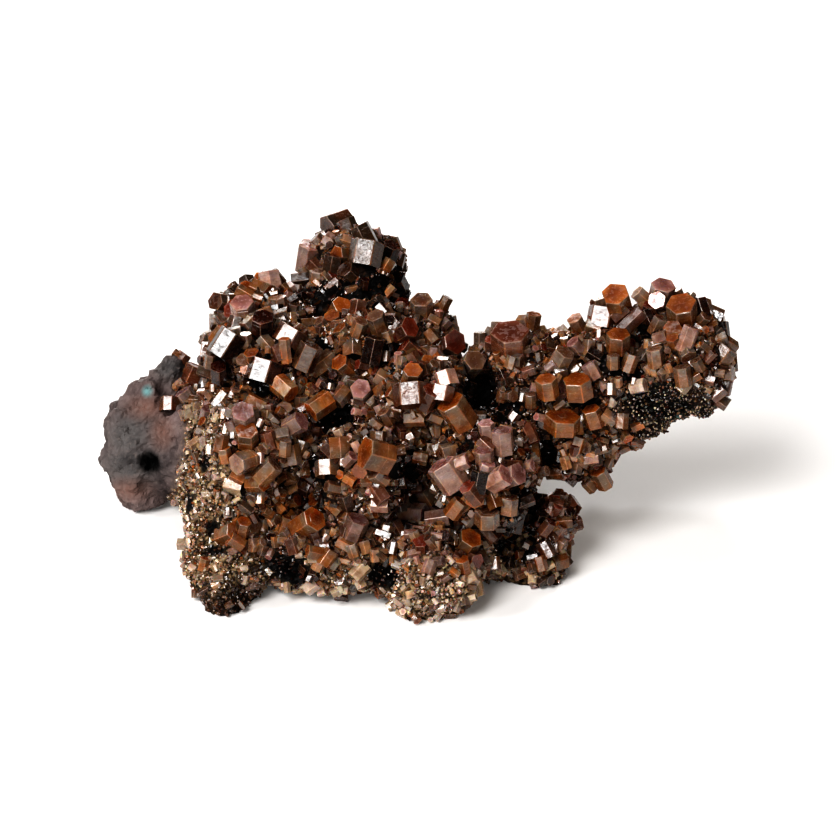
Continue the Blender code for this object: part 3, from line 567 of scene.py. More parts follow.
def add_relief(target, name, kind, size, height):
    """Raises and sinks the surface by a solid texture of rounded clouds or of cells."""
    texture = bpy.data.textures.new(name, kind)
    texture.noise_scale = size
    modify(target, name, "DISPLACE", texture=texture, strength=height, mid_level=0.5)


def ground_cutter(collection):
    bm = bmesh.new()
    side = 2 * CHART_SIZE * MM
    bmesh.ops.create_cube(bm, size=side, matrix=Matrix.Translation((0, 0, -side / 2)))
    return placed_bmesh("ground", bm, collection)


def tree_of(mesh):
    bm = bmesh.new()
    bm.from_mesh(mesh)
    tree = BVHTree.FromBMesh(bm)
    bm.free()
    return tree


def sight_hit(tree, across, down):
    """Where the sight line of a chart place meets a surface, and the surface's normal."""
    direction = (charted(across, down) - EYE).normalized()
    return tree.ray_cast(EYE, direction)[:2]


def lobe_ellipsoids(name, lobes, guides):
    places = [charted(lobe.across, lobe.down, lobe.toward) for lobe in lobes]
    return ellipsoids(name, lobes, places, guides)


def hollow_places(guides):
    """The hollows' middles, where their sight lines meet the lobes."""
    rough = lobe_ellipsoids("lobes alone", LOBES, guides)
    even_out(rough, ROCK_VOXEL)
    tree = tree_of(baked(rough))
    return [sight_hit(tree, hollow.across, hollow.down)[0] for hollow in HOLLOWS]


def rock_skin(voxel, smoothing, sunk, guides):
    """The rock's skin before it is cut off at the ground."""
    rough = lobe_ellipsoids("rock lobes", LOBES, guides)
    back = lobe_ellipsoids("broken back", [BROKEN_BACK], guides)
    even_out(rough, ROCK_VOXEL)
    cut_with(rough, back)
    cut_with(rough, ellipsoids("hollows", HOLLOWS, sunk, guides), joins_own=True)
    even_out(rough, voxel)
    modify(rough, "worn edges", "SMOOTH", factor=0.5, iterations=smoothing)
    add_relief(rough, "lumps", "CLOUDS", LUMP_SIZE, LUMP_HEIGHT)
    add_relief(rough, "knurls", "VORONOI", KNURL_SIZE, -KNURL_HEIGHT)
    return baked(rough)


def standing_rock(sunk, guides):
    """The coarse rock, which is the solid model's own."""
    skin = rock_skin(ROCK_VOXEL, STANDING_SMOOTHING, sunk, guides)
    faces = sum(len(face.vertices) - 2 for face in skin.polygons)
    rock = placed("standing rock", skin, guides)
    modify(rock, "fewer faces", "DECIMATE", ratio=ROCK_TRIANGLES / faces)
    cut_with(rock, ground_cutter(guides))
    return baked(rock)


def vectors_of(items, field):
    """One vector of each vertex, as the rows of an array."""
    vectors = np.empty(len(items) * 3)
    items.foreach_get(field, vectors)
    return vectors.reshape(-1, 3)


def points_of(mesh):
    return vectors_of(mesh.vertices, "co")


def normals_of(mesh):
    return vectors_of(mesh.vertex_normals, "vector")


def grain_of(point, size):
    """Height of a granular skin at a point: cells with sharp grooves between them."""
    near, next_near = noise.voronoi(point / size)[0][:2]
    return min(1.0, (next_near - near) * GRAIN_GROOVE)


def roughen(mesh):
    """Sugary grains over the rock, coarser broken pits over the bare lump."""
    points = points_of(mesh)
    normals = normals_of(mesh)
    bare = inside("bare", points)
    for index, point in enumerate(points):
        place = Vector(point)
        grains = (grain_of(place, GRAIN_SIZE) - 0.5) * GRAIN_HEIGHT
        grit = noise.noise(place / GRIT_SIZE) * GRIT_HEIGHT
        pits = min(0.0, noise.noise(place / PIT_SIZE) + 0.1) * PIT_DEPTH
        height = grains * (1 - (1 - GRAIN_ON_BARE) * bare[index]) + grit + pits * bare[index]
        points[index] += normals[index] * height
    points[:, 2] = np.maximum(points[:, 2], 0)
    mesh.vertices.foreach_set("co", points.ravel())


def set_attribute(mesh, name, kind, domain, field, values):
    layer = mesh.attributes.new(name, kind, domain)
    layer.data.foreach_set(field, np.ascontiguousarray(values, dtype=np.float32).ravel())


def facing_eye(normals):
    """Whether each point faces the eye, from 0 to 1, with a soft turn between."""
    return np.clip(normals @ np.array(OUT) * 3 + 0.5, 0, 1)


def black_share(points, normals, sunk, wider=0.0):
    """How black each point is: black rock and painted shade, in the hollows and in dark patches facing the
    eye.
    """
    black = inside("black", points, wider=wider) * facing_eye(normals)
    squared = np.array((RIGHT, UP, OUT))
    for place, hollow in zip(sunk, HOLLOWS):
        halves = np.array((hollow.half_width, hollow.half_height, hollow.half_depth)) * MM
        apart = np.linalg.norm((points - np.array(place)) @ squared.T / halves, axis=1)
        black = np.maximum(black, np.clip((BLACK_REACH - apart) / BLACK_BORDER, 0, 1))
    return black


def visible_rock(sunk, guides):
    mesh = rock_skin(FINE_VOXEL, FINE_SMOOTHING, sunk, guides)
    roughen(mesh)
    points = points_of(mesh)
    normals = normals_of(mesh)
    zones = {kind: inside(kind, points, soft) for kind, soft in BORDERS.items()}
    zones["turquoise"] *= facing_eye(normals)
    zones["black"] = black_share(points, normals, sunk)
    for name, values in zones.items():
        set_attribute(mesh, name, "FLOAT", "POINT", "value", values)
    return placed("rock", mesh)


# --- The form of a crystal ---


def hexagon(chance):
    """The corners of an uneven six-sided outline, about one half width from the middle."""
    side = math.cos(math.pi / 6)
    reach = [side * (1 + chance.uniform(-SKEW, SKEW)) for _ in range(6)]
    corners = []
    for number in range(6):
        angle = number * math.pi / 3
        after = angle + math.pi / 3
        near, far = reach[number], reach[(number + 1) % 6]
        x = (near * math.sin(after) - far * math.sin(angle)) / math.sin(math.pi / 3)
        y = (far * math.cos(angle) - near * math.cos(after)) / math.sin(math.pi / 3)
        corners.append(Vector((x, y, 0)))
    return corners


def ring(corners, size, height):
    """Twelve points: the outline at a height, with its corners cut off."""
    points = []
    for number, corner in enumerate(corners):
        before = corners[number - 1]
        after = corners[(number + 1) % 6]
        for other in (before, after):
            place = corner.lerp(other, CORNER) * size
            points.append((place.x, place.y, height))
    return points


def side_rings(chance, aspect, steps, root):
    """Heights and sizes up the sides, with small growth steps."""
    bottom = -aspect - 2 * root
    heights = sorted(chance.uniform(-aspect, aspect * TALLEST_STEP) for _ in range(steps))
    rings = [(bottom, 1.0)]
    size = 1.0
    for height in heights:
        changed = 1 + chance.uniform(-STEP, STEP * STEP_OUT)
        rings += [(height, size), (height + STEP_RISE, changed)]
        size = changed
    return rings + [(aspect - CORNER, size), (aspect, size - CORNER)]


def crystal_shape(chance, aspect, steps=0, cupped=False, root=ROOT, terraces=0):
    """A prism about Z, one half width across, from its root to its tip at the aspect."""
    corners = hexagon(chance)
    rings = side_rings(chance, aspect, steps, root)
    bands = len(rings) - 2
    kinds = [(PRISM, EDGE)] * bands + [(EDGE, EDGE)]
    if cupped:
        top = rings[-1][1]
        depth = CUP * chance.uniform(0.5, 1.3)
        rim = RIM * chance.uniform(0.6, 1.5)
        rings += [(aspect, top - rim), (aspect - depth, top - rim - CUP_WALL)]
        kinds += [(BASAL, BASAL), (WALL, WALL)]
    else:
        sizes = [chance.uniform(*TERRACE_SIZES) for _ in range(terraces)]
        for size in sorted(sizes, reverse=True):
            height = rings[-1][0]
            rings += [(height, size), (height + TERRACE, size - TERRACE)]
            kinds += [(BASAL, BASAL), (EDGE, EDGE)]
    verts = [point for height, size in rings for point in ring(corners, size, height)]
    faces = []
    face_kinds = []
    for level, (flat, corner) in enumerate(kinds):
        low = level * 12
        for number in range(12):
            after = (number + 1) % 12
            faces.append((low + number, low + after, low + 12 + after, low + 12 + number))
            face_kinds.append(corner if number % 2 == 0 else flat)
    last = len(verts) - 12
    faces.append(tuple(range(last, last + 12)))
    face_kinds.append(BASAL)
    return Shape(np.array(verts), faces, np.array(face_kinds))


def grain_shape(chance, aspect):
    """A plain small prism with six sides and a flat tip, drawn in and slanting."""
    corners = hexagon(chance)
    size = chance.uniform(*DRAWN_IN)
    slant = chance.uniform(-SLANT, SLANT)
    verts = [(corner.x, corner.y, -aspect) for corner in corners]
    verts += [(corner.x * size, corner.y * size, aspect + corner.x * slant) for corner in corners]
    faces = [(n, (n + 1) % 6, 6 + (n + 1) % 6, 6 + n) for n in range(6)]
    faces.append(tuple(range(6, 12)))
    return Shape(np.array(verts), faces, np.array([PRISM] * 6 + [BASAL]))


# --- Standing the crystals ---


def own_random(across, down):
    """Random numbers that belong to one place, whatever grows elsewhere."""
    return random.Random(round(across * 10) * 10007 + round(down * 10))


def nearest_on_line(tree, start, direction):
    """The point of a line that passes closest to a surface it misses."""
    steps = [EYE_DISTANCE + step * MM for step in range(-20, 30)]
    points = [start + direction * step for step in steps]
    return min(points, key=lambda point: tree.find_nearest(point)[3])


def turned_frame(axis, turn):
    """The crystal's own X, Y and Z as the columns of a matrix."""
    return axis.to_track_quat("Z", "Y").to_matrix() @ Matrix.Rotation(turn, 3, "Z")


def halfway(place):
    """The way a flat face at a place looks when it throws the key light into the eye."""
    to_eye = (EYE - place).normalized()
    to_key = (KEY_PLACE - place).normalized()
    return (to_eye + to_key).normalized()


def glinting_frame(place, level, glint, chance):
    """A frame whose side face or flat end catches the key light."""
    look = halfway(place)
    if glint == "faint":
        look = (look + RIGHT * FAINT_TURN).normalized()
    if glint == "end":
        return turned_frame(look, chance.uniform(0, math.pi / 3)), look
    axis = (level - look * level.dot(look)).normalized()
    upright = axis.to_track_quat("Z", "Y").to_matrix()
    local = upright.transposed() @ look
    return upright @ Matrix.Rotation(math.atan2(local.y, local.x), 3, "Z"), axis


def laid_over(axis):
    """The axis turned partly across the sight line, as most crystals show their sides."""
    return (axis - OUT * axis.dot(OUT) * LAID_OVER).normalized()


def glint_of(crystal):
    """What part of a listed crystal glints, if any does."""
    return crystal.rise if isinstance(crystal.rise, str) else None


def length_of(crystal):
    return crystal.length or crystal.width * STUB_LENGTH


def standing(tree, crystal):
    """A listed crystal's middle and its own frame."""
    glint = glint_of(crystal)
    chance = own_random(crystal.across, crystal.down)
    direction = (charted(crystal.across, crystal.down) - EYE).normalized()
    hit, normal = sight_hit(tree, crystal.across, crystal.down)
    if hit is None:
        hit = nearest_on_line(tree, EYE, direction)
        normal = -direction
    if crystal.lean is None:
        jitter = Vector([chance.uniform(-STUB_TILT, STUB_TILT) for _ in range(3)])
        axis = laid_over(normal * NORMAL_SHARE + UP * UP_SHARE + jitter)
    else:
        lean = math.radians(crystal.lean)
        rise = 0 if glint else math.radians(crystal.rise)
        level = RIGHT * math.cos(lean) + UP * math.sin(lean)
        axis = level * math.cos(rise) + OUT * math.sin(rise)
    turned = turned_frame(axis, chance.uniform(0, math.pi / 3))
    if glint:
        turned, axis = glinting_frame(hit, axis, glint, chance)
    facing = max(0.0, axis.dot(-direction))
    sideways = math.sqrt(1 - min(1.0, facing) ** 2)
    lift = crystal.width * (0.5 * sideways - SUNK) + length_of(crystal) * 0.5 * facing
    return hit - direction * lift * MM, turned


def listed_crystals(tree):
    grown = []
    for group, crystal in CRYSTALS:
        glint = glint_of(crystal)
        chance = own_random(crystal.across, crystal.down + 0.5)
        middle, turned = standing(tree, crystal)
        aspect = length_of(crystal) / crystal.width
        steps = 0 if glint else chance.choice((0, 1, 1, 2, 3))
        cupped = glint != "end" and chance.random() < CUPPED_SHARE
        root = ROOT if crystal.lean is None else SHORT_ROOT
        terraces = 0 if glint else chance.choice((0, 0, 0, 1))
        shape = crystal_shape(chance, aspect, steps, cupped, root, terraces)
        grown.append(Growth(shape, middle, turned, crystal.width, crystal.tint, group))
    return grown


def out_of_sight(tree, place):
    sight = place - EYE
    return tree.ray_cast(EYE, sight.normalized(), sight.length)[0] is not None


def hidden_crystals(mesh, tree):
    """Crystals on the rock that the eye doesn't see, well apart."""
    chance = random.Random(HIDDEN_SEED)
    faces = list(mesh.polygons)
    weights = [face.area for face in faces]
    taken = []
    grown = []
    for face in chance.choices(faces, weights, k=HIDDEN_TRIES):
        place = face.center.copy()
        width = chance.uniform(*HIDDEN_WIDTHS)
        jitter = Vector([chance.uniform(-HIDDEN_JITTER, HIDDEN_JITTER) for _ in range(3)])
        axis = (face.normal + jitter).normalized()
        turn = chance.uniform(0, 1)
        if not out_of_sight(tree, place + axis * width * MM):
            continue
        if place.z < HIDDEN_FLOOR or place.x < HIDDEN_LEFT or face.normal.z < HIDDEN_UNDERSIDE:
            continue
        if any((place - other).length < HIDDEN_SPACING * MM for other in taken):
            continue
        taken.append(place)
        own = random.Random(len(taken))
        shape = crystal_shape(own, 1, own.choice((0, 1, 2)), own.random() < HIDDEN_CUPPED_SHARE)
        middle = place + axis * width * (0.5 - SUNK) * MM
        tint = own.choice("ooprttk")
        grown.append(Growth(shape, middle, turned_frame(axis, turn), width, tint, "back"))
        if len(taken) == HIDDEN_CRYSTALS:
            break
    return grown


# --- Sowing the smaller crystals ---


def triangles_of(mesh):
    mesh.calc_loop_triangles()
    corners = np.empty(len(mesh.loop_triangles) * 3, np.int32)
    mesh.loop_triangles.foreach_get("vertices", corners)
    return points_of(mesh)[corners.reshape(-1, 3)]


def seeds_on(mesh, sowing):
    """Points spread evenly over a mesh by area, and the normals there."""
    chance = np.random.RandomState(sowing.seed)
    corners = triangles_of(mesh)
    cross = np.cross(corners[:, 1] - corners[:, 0], corners[:, 2] - corners[:, 0])
    area = np.linalg.norm(cross, axis=1)
    picked = chance.choice(len(area), sowing.tries, p=area / area.sum())
    u = np.sqrt(chance.rand(sowing.tries))[:, None]
    v = chance.rand(sowing.tries)[:, None]
    a, b, c = (corners[picked, number] for number in range(3))
    points = a * (1 - u) + b * u * (1 - v) + c * u * v
    normals = cross[picked] / area[picked][:, None]
    return points, normals


def well_apart(points, widths, spacing):
    """Which points to keep so that none is too near one kept before it."""
    cell = widths.max()
    grid = {}
    kept = []
    for index, point in enumerate(points):
        home = tuple(np.floor(point / cell).astype(int))
        reach = range(-1, 2)
        near = [
            other
            for x in reach
            for y in reach
            for z in reach
            for other in grid.get((home[0] + x, home[1] + y, home[2] + z), ())
        ]
        width = widths[index]
        if all(
            math.dist(point, points[other]) > spacing * (width + widths[other]) for other in near
        ):
            grid.setdefault(home, []).append(index)
            kept.append(index)
    return kept


def tree_over(points):
    tree = KDTree(len(points))
    for index, point in enumerate(points):
        tree.insert(point, index)
    tree.balance()
    return tree


def buried(points, grown):
    """Which points lie inside the crystals that already stand."""
    tree = tree_over(points)
    hidden = np.zeros(len(points), bool)
    for crystal in grown:
        half = crystal.width * MM / 2
        top = crystal.shape.verts[:, 2].max()
        reach = half * (top + 2 * ROOT + 1)
        near = [index for _, index, _ in tree.find_range(crystal.middle, reach)]
        if not near:
            continue
        local = (points[near] - np.array(crystal.middle)) @ np.array(crystal.turned) / half
        within = np.hypot(local[:, 0], local[:, 1]) < BURIED_ACROSS
        low = local[:, 2] < top * BURIED_ALONG
        hidden[near] |= within & low & (local[:, 2] > -top - 2 * ROOT)
    return hidden


def in_front(points, normals):
    """Which points on the near side would stand before the listed crystals."""
    across, down = chart_places(points)
    hidden = np.zeros(len(points), bool)
    for _, crystal in CRYSTALS:
        apart = np.hypot(across - crystal.across, down - crystal.down)
        hidden |= apart < crystal.width * KEPT_CLEAR
    return hidden & (facing_eye(normals) > NEAR_SIDE)


def zone_tint(chance, black, gold, amber, foot, grain, cream, dull):
    """A tint for one sown crystal, by how far it is inside each kind of patch."""
    if chance.random() < dull:
        return chance.choice("dddtk")
    if chance.random() < cream:
        return chance.choice("cccggoop")
    if chance.random() < grain:
        return chance.choice("mmkkdgggcc")
    # Near-black tints in the black patches: painted shade.
    if chance.random() < black * 1.2:
        return chance.choice("kkkd")
    if chance.random() < amber:
        return chance.choice("oooott")
    if chance.random() < gold:
        return chance.choice("ggggggcctood")
    if chance.random() < foot:
        return chance.choice("rrrkot")
    return chance.choice("ttttttooodddprrk")


def nearest_group(points, grown):
    tree = tree_over([crystal.middle for crystal in grown])
    return [grown[tree.find(point)[1]].group for point in points]


def density_of(points, normals, sunk, sowing):
    """The share of seeds that grow at each point."""
    grain = inside("grain", points)
    black = black_share(points, normals, sunk, sowing.kept_off) * (1 - 0.8 * grain)
    fine = np.maximum(inside("fine cream", points), grain * 2)
    bare = np.minimum(inside("bare", points, 0.08) * 1.6, 1)
    away = np.clip(-(normals @ np.array(OUT)) - 0.1, 0, 1)
    under = np.clip(-normals[:, 2] - 0.55, 0, 1) * (1 - grain)
    low = np.clip(1 - points[:, 2] / LOW_HEIGHT, 0, 1)
    fewer = FEWER_BEHIND * away + FEWER_BELOW * under + sowing.low * low
    kept = (1 - sowing.off_black * black) * (1 - np.minimum(sowing.off_fine * fine, 1))
    return np.maximum(1 - fewer, 0) * (1 - bare) * kept


def sown_crystals(mesh, sowing, grown, sunk, make=crystal_shape):
    """Crystals sown over the rock between those that already stand on it."""
    points, normals = seeds_on(mesh, sowing)
    chance = np.random.RandomState(sowing.seed + 1)
    low, high = sowing.widths
    widths = low + (high - low) * chance.rand(len(points)) ** MOSTLY_NARROW
    under = np.clip(-normals[:, 2] * 3, 0, 1)
    widths *= 1 - sowing.narrowed * np.maximum(facing_eye(normals), under)
    widths *= 1 + (sowing.in_fine - 1) * inside("fine", points)
    widths *= 1 - NARROWED_IN_GRAIN * inside("grain", points)
    tips = points + normals * widths[:, None] * MM * 0.5
    keep = chance.rand(len(points)) < density_of(points, normals, sunk, sowing)
    keep &= ~buried(tips, grown) & ~in_front(tips, normals) & (points[:, 2] > LEAST_HEIGHT)
    chosen = np.flatnonzero(keep)
    chosen = chosen[well_apart(points[chosen], widths[chosen] * MM, sowing.spacing)]
    kinds = ("gold", "amber", "foot", "grain", "cream", "dull")
    black = black_share(points, normals, sunk)
    zones = np.stack([black] + [inside(kind, points) for kind in kinds], 1)
    groups = nearest_group(points[chosen], grown)
    own = random.Random(sowing.seed + 2)
    shapes = [make(own, own.uniform(*sowing.aspect)) for _ in range(SHAPES_SOWN)]
    sown = []
    for index, group in zip(chosen, groups):
        tilt = Vector([own.gauss(0, sowing.tilt) for _ in range(3)])
        axis = laid_over(Vector(normals[index]) + tilt)
        width = widths[index]
        middle = Vector(points[index]) + axis * width * own.uniform(*sowing.raised) * MM
        turned = turned_frame(axis, own.uniform(0, math.pi / 3))
        if own.random() < sowing.sparkling:
            turned, axis = glinting_frame(middle, axis, "side", own)
        tint = zone_tint(own, *zones[index])
        sown.append(Growth(own.choice(shapes), middle, turned, width, tint, group))
    return sown


# --- Crystals into meshes ---


def face_colours(crystal, chance):
    """A colour for every face, by its kind, and a little of its own."""
    tint = TINTS[crystal.tint]
    prism, basal = np.array(tint.prism), np.array(tint.basal)
    # Edge faces take a painted highlight, and walls of hollowed ends a painted shade.
    edge = prism + (np.array(EDGE_HIGHLIGHT) - prism) * EDGE_HIGHLIGHT_SHARE
    by_kind = np.stack([prism, basal, edge, basal * WALL_SHADE])
    own = math.exp(chance.gauss(0, OWN_SPREAD if crystal.width > NARROW else NARROW_SPREAD))
    count = len(crystal.shape.faces)
    faces = np.array([chance.uniform(*FACE_SPREAD) for _ in range(count)])
    colours = np.ones((count, 4))
    colours[:, :3] = by_kind[crystal.shape.kinds] * (own * faces)[:, None]
    colours[:, 3] = np.where(crystal.shape.kinds == PRISM, tint.clear * CLEAR_SIDES, tint.clear)
    return colours


def joined(name, crystals):
    """One mesh object of many crystals, with their colours and growth directions."""
    chance = random.Random(name)
    verts, faces, colours, edges, growth, tips = [], [], [], [], [], []
    start = 0
    for crystal in crystals:
        shape = crystal.shape
        turned = np.array(crystal.turned)
        points = shape.verts @ turned.T * (crystal.width * MM / 2) + np.array(crystal.middle)
        points[:, 2] = np.maximum(points[:, 2], 0)
        verts.append(points)
        faces += [tuple(start + corner for corner in face) for face in shape.faces]
        colours.append(face_colours(crystal, chance))
        edges.append(shape.kinds == EDGE)
        growth.append(shape.verts + [0, 0, chance.uniform(0, 50)])
        top = shape.verts[:, 2].max()
        tips.append(np.clip(shape.verts[:, 2] / top, -1, 1))
        start += len(shape.verts)
    mesh = bpy.data.meshes.new(name)
    mesh.from_pydata(np.concatenate(verts).tolist(), [], faces)
    set_attribute(mesh, "body", "FLOAT_COLOR", "FACE", "color", np.concatenate(colours))
    set_attribute(mesh, "edge", "FLOAT", "FACE", "value", np.concatenate(edges))
    set_attribute(mesh, "tip", "FLOAT", "POINT", "value", np.concatenate(tips))
    set_attribute(mesh, "growth", "FLOAT_VECTOR", "POINT", "vector", np.concatenate(growth))
    return placed(name, mesh)


# --- Materials ---


class Shading:
    """A material's node tree, with short ways to add to it."""

    def __init__(self, name):
        self.material = bpy.data.materials.new(name)
        self.material.use_nodes = True
        self.tree = self.material.node_tree
        self.shader = self.tree.nodes["Principled BSDF"]

    def node(self, kind, inputs=None, **settings):
        made = self.tree.nodes.new(kind)
        for name, value in settings.items():
            setattr(made, name, value)
        for name, value in (inputs or {}).items():
            self.feed(made.inputs[name], value)
        return made

    def feed(self, socket, value):
        if isinstance(value, bpy.types.NodeSocket):
            self.tree.links.new(value, socket)
        else:
            socket.default_value = value

    def attribute(self, name, output="Fac"):
        made = self.node("ShaderNodeAttribute", attribute_name=name)
        return made.outputs[output]

    def place(self):
        return self.node("ShaderNodeTexCoord").outputs["Object"]

    def noise(self, scale, detail=2.0, vector=None):
        made = self.node(
            "ShaderNodeTexNoise",
            {"Vector": vector or self.place(), "Scale": scale, "Detail": detail},
        )
        return made.outputs["Fac"]

    def cells(self, scale):
        made = self.node("ShaderNodeTexVoronoi", {"Vector": self.place(), "Scale": scale})
        return made.outputs["Distance"]

    def math(self, operation, first, second):
        made = self.node("ShaderNodeMath", operation=operation)
        self.feed(made.inputs[0], first)
        self.feed(made.inputs[1], second)
        return made.outputs[0]

    def times(self, first, second):
        return self.math("MULTIPLY", first, second)

    def plus(self, first, second):
        return self.math("ADD", first, second)

    def spread(self, value, low, high, to_low=0.0, to_high=1.0):
        """The value stretched from one range to another, and held to its ends."""
        made = self.node(
            "ShaderNodeMapRange",
            {"Value": value, "From Min": low, "From Max": high, "To Min": to_low},
        )
        self.feed(made.inputs["To Max"], to_high)
        return made.outputs["Result"]

    def mix(self, share, first, second, blend="MIX"):
        made = self.node("ShaderNodeMix", data_type="RGBA", blend_type=blend)
        self.feed(made.inputs["Factor"], share)
        self.feed(made.inputs[6], opaque(first))
        self.feed(made.inputs[7], opaque(second))
        return made.outputs[2]

    def bump(self, height, distance, strength):
        made = self.node(
            "ShaderNodeBump", {"Height": height, "Distance": distance, "Strength": strength}
        )
        return made.outputs["Normal"]

    def set(self, **sockets):
        for name, value in sockets.items():
            self.feed(self.shader.inputs[name.replace("_", " ")], value)


def opaque(colour):
    return colour if isinstance(colour, bpy.types.NodeSocket) else (*colour, 1.0)


def vanadinite_material():
    """Resinous crystals: cloudy body with a painted glow and pink sheen, zoned ends, fine growth lines and
    painted highlights on the edges.
    """
    look = Shading("vanadinite")
    body = look.attribute("body", "Color")
    edge = look.attribute("edge")
    growth = look.attribute("growth", "Vector")
    stretch = look.node("ShaderNodeMapping", {"Vector": growth, "Scale": (0.5, 0.5, 9.0)})
    along = stretch.outputs["Vector"]
    lines = look.noise(1.6, 3.0, along)
    sheen_noise = look.noise(520.0, 1.0)
    # the body, cloudy, with a painted glow: amber towards the roots and where light would pass far into it
    clouds = look.spread(look.noise(900.0, 3.0), 0.42, 0.72)
    colour = look.mix(clouds, body, (0.55, 0.42, 0.36), "MULTIPLY")
    painted_glow = look.plus(look.times(look.attribute("tip"), 0.28), look.noise(760.0, 2.0))
    painted_glow = look.times(look.spread(painted_glow, 0.40, 0.70, 0.95, 0.0), look.attribute("body", "Alpha"))
    colour = look.mix(painted_glow, colour, AMBER, "MULTIPLY")
    # Painted pink sheen, in random clouds over the faces.
    colour = look.mix(look.spread(sheen_noise, 0.54, 0.76, 0.0, 0.18), colour, (0.34, 0.12, 0.075))
    # a darker core round the axis, growth lines across it and painted highlights on the edges
    growth = look.node("ShaderNodeSeparateXYZ", {"Vector": growth})
    x, y = growth.outputs["X"], growth.outputs["Y"]
    from_axis = look.plus(look.times(x, x), look.times(y, y))
    core = look.spread(look.plus(from_axis, look.times(sheen_noise, 0.5)), 0.25, 0.95, 0.75, 0.0)
    colour = look.mix(core, colour, (0.50, 0.34, 0.30), "MULTIPLY")
    lined = look.spread(lines, 0.52, 0.62, 0.0, 0.35)
    colour = look.mix(lined, colour, (0.62, 0.58, 0.54), "MULTIPLY")
    # Painted highlight on the edge faces, in patches of noise.
    worn = look.spread(look.noise(2400.0, 2.0), 0.35, 0.65, 0.0, 0.25)
    colour = look.mix(look.times(edge, worn), colour, EDGE_HIGHLIGHT)
    # gloss, duller in clouds, on edges and in scratches
    rough = look.spread(look.noise(2300.0, 5.0), 0.40, 0.72, 0.06, 0.42)
    rough = look.plus(rough, look.times(edge, 0.12))
    rough = look.plus(rough, look.spread(look.noise(6.0, 2.0, along), 0.60, 0.66, 0.0, 0.5))
    height = look.plus(look.times(lines, 0.6), look.noise(5200.0, 2.0))
    height = look.plus(height, look.times(look.noise(1500.0, 3.0), 3.0))
    look.set(
        Base_Color=colour,
        Roughness=rough,
        Normal=look.bump(height, 0.014 * MM, 0.6),
        IOR=1.65,
        Subsurface_Weight=0.45,
        Subsurface_Scale=0.8 * MM,
        Subsurface_Radius=(1.0, 0.38, 0.10),
    )
    return look.material


def rock_material():
    """Dark iron and manganese rock, crusted brown, gold or red, bare at the back left, and black, partly as
    painted shade, in the hollows and dark patches.
    """
    look = Shading("rock")
    broad = look.noise(260.0, 4.0)
    fine = look.noise(1900.0, 3.0)
    crust = look.mix(look.spread(broad, 0.38, 0.66), (0.004, 0.0025, 0.002), (0.026, 0.013, 0.007))
    crust = look.mix(look.spread(fine, 0.56, 0.72, 0.0, 0.6), crust, (0.12, 0.056, 0.025))
    gold = look.mix(look.spread(fine, 0.46, 0.64), (0.030, 0.020, 0.011), (0.27, 0.19, 0.11))
    foot = look.mix(look.spread(fine, 0.42, 0.62), (0.020, 0.006, 0.004), (0.11, 0.030, 0.014))
    stone = look.mix(look.spread(broad, 0.36, 0.62), (0.066, 0.049, 0.047), (0.160, 0.122, 0.115))
    slate = look.mix(look.spread(broad, 0.36, 0.62), (0.030, 0.029, 0.030), (0.085, 0.082, 0.080))
    stone = look.mix(look.times(look.attribute("slate"), 0.85), stone, slate)
    stone = look.mix(look.times(look.attribute("rust"), 0.5), stone, (0.16, 0.075, 0.050))
    stone = look.mix(look.spread(fine, 0.55, 0.75, 0.0, 0.4), stone, (0.20, 0.165, 0.15))
    specks = look.spread(look.cells(2600.0), 0.10, 0.04, 0.0, 0.35)
    black = look.mix(specks, (0.0025, 0.002, 0.0018), (0.08, 0.075, 0.065))
    colour = look.mix(look.attribute("gold"), crust, gold)
    colour = look.mix(look.attribute("foot"), colour, foot)
    colour = look.mix(look.attribute("bare"), colour, stone)
    # Painted shade: black rock in the hollows and dark patches.
    colour = look.mix(look.attribute("black"), colour, black)
    colour = look.mix(look.attribute("turquoise"), colour, (0.13, 0.22, 0.22))
    height = look.plus(look.times(look.cells(1500.0), 0.8), fine)
    look.set(
        Base_Color=colour,
        Roughness=look.spread(fine, 0.3, 0.7, 0.45, 0.8),
        Specular_IOR_Level=0.2,
        Normal=look.bump(height, 0.10 * MM, 0.8),
    )
    return look.material


def floor_material():
    look = Shading("pale floor")
    grain = look.bump(look.noise(400.0, 2.0), 0.02 * MM, 0.2)
    look.set(Base_Color=opaque(FLOOR_COLOUR), Roughness=0.9, Normal=grain)
    return look.material


# --- The studio ---


def add_area_light(lamp):
    light = bpy.data.lights.new(lamp.name, "AREA")
    light.size = lamp.size
    light.energy = lamp.power
    light.color = lamp.colour
    stand = placed(lamp.name, light)
    stand.location = lamp.place
    stand.rotation_euler = (lamp.place - CHART_MIDDLE).to_track_quat("Z", "Y").to_euler()


def add_studio():
    for lamp in LAMPS:
        add_area_light(lamp)
    world = bpy.data.worlds.new("studio")
    world.use_nodes = True
    sky = world.node_tree.nodes["Background"]
    sky.inputs["Color"].default_value = (*WORLD_COLOUR, 1.0)
    sky.inputs["Strength"].default_value = WORLD_STRENGTH
    bpy.context.scene.world = world
    bpy.context.scene.view_settings.view_transform = "Standard"
    bpy.context.scene.view_settings.look = "Very High Contrast"


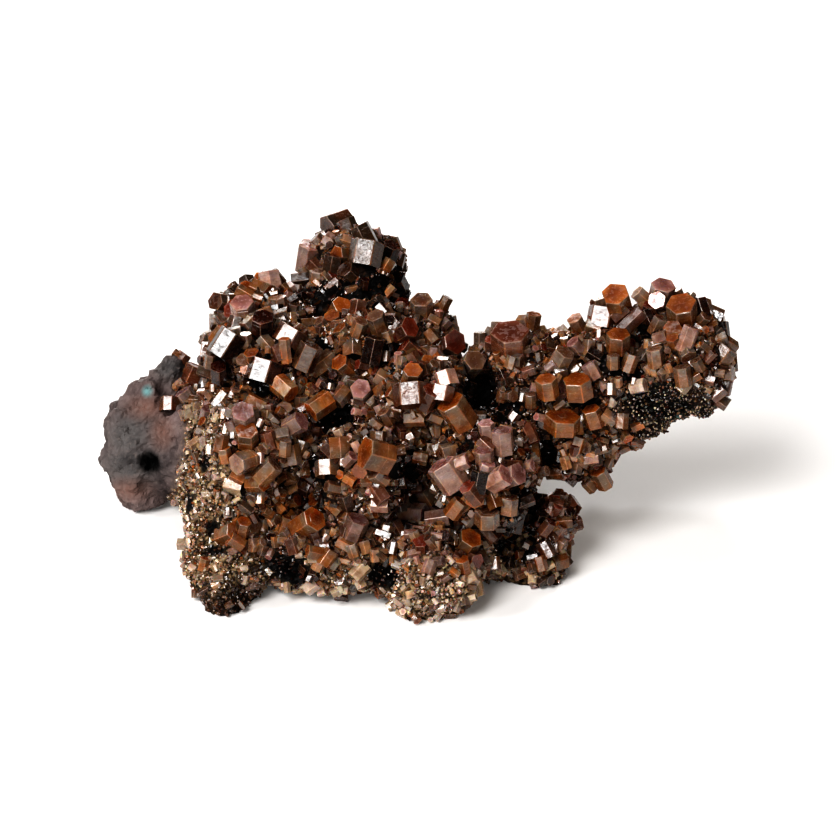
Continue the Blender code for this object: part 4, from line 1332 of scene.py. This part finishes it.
def add_floor():
    bm = bmesh.new()
    bmesh.ops.create_grid(bm, x_segments=2, y_segments=2, size=FLOOR_SIZE / 2)
    floor = placed_bmesh("floor", bm)
    floor.data.materials.append(floor_material())


def add_camera():
    lens = bpy.data.cameras.new("camera")
    lens.sensor_width = SENSOR
    lens.lens = SENSOR * EYE_DISTANCE / (CHART_SIZE * MM)
    lens.clip_start = 10 * MM
    camera = placed("camera", lens)
    camera.location = EYE
    camera.rotation_euler = OUT.to_track_quat("Z", "Y").to_euler()
    bpy.context.scene.camera = camera


# --- The specimen ---


def nodes_of(group, nodes):
    """The solid model's nodes that belong to a group, which end in its name and a number."""
    return [name for name in nodes if name.rpartition("_")[0] == "crystals_" + group]


def finish_piece(piece, material, replaced):
    piece.data.materials.append(material)
    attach(piece, "root")
    if replaced:
        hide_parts(*replaced)


def grow_specimen():
    """The rock, the crystals that stand on it and the crust between them."""
    guides = hidden_collection()
    sunk = hollow_places(guides)
    standing_mesh = standing_rock(sunk, guides)
    rock = visible_rock(sunk, guides)
    tree = tree_of(standing_mesh)
    grown = listed_crystals(tree) + hidden_crystals(standing_mesh, tree)
    grown += sown_crystals(rock.data, MEDIUM, grown, sunk)
    grown += sown_crystals(rock.data, SMALL, grown, sunk)
    crust = sown_crystals(rock.data, CRUST, grown, sunk, grain_shape)
    for guide in list(guides.objects):
        bpy.data.objects.remove(guide, do_unlink=True)
    bpy.data.collections.remove(guides)
    return rock, grown, crust


def add_specimen(nodes):
    rock, grown, crust = grow_specimen()
    finish = vanadinite_material()
    for group in sorted({crystal.group for crystal in grown}):
        members = [crystal for crystal in grown if crystal.group == group]
        piece = joined("crystals_" + group, members)
        finish_piece(piece, finish, nodes_of(group, nodes))
    middle = CHART_MIDDLE.x
    left = [grain for grain in crust if grain.middle.x < middle]
    right = [grain for grain in crust if grain.middle.x >= middle]
    for name, grains in (("crust_left", left), ("crust_right", right)):
        finish_piece(joined(name, grains), finish, [])
    finish_piece(rock, rock_material(), ["matrix"])


add_specimen(frame["nodes"])
add_floor()
add_studio()
add_camera()
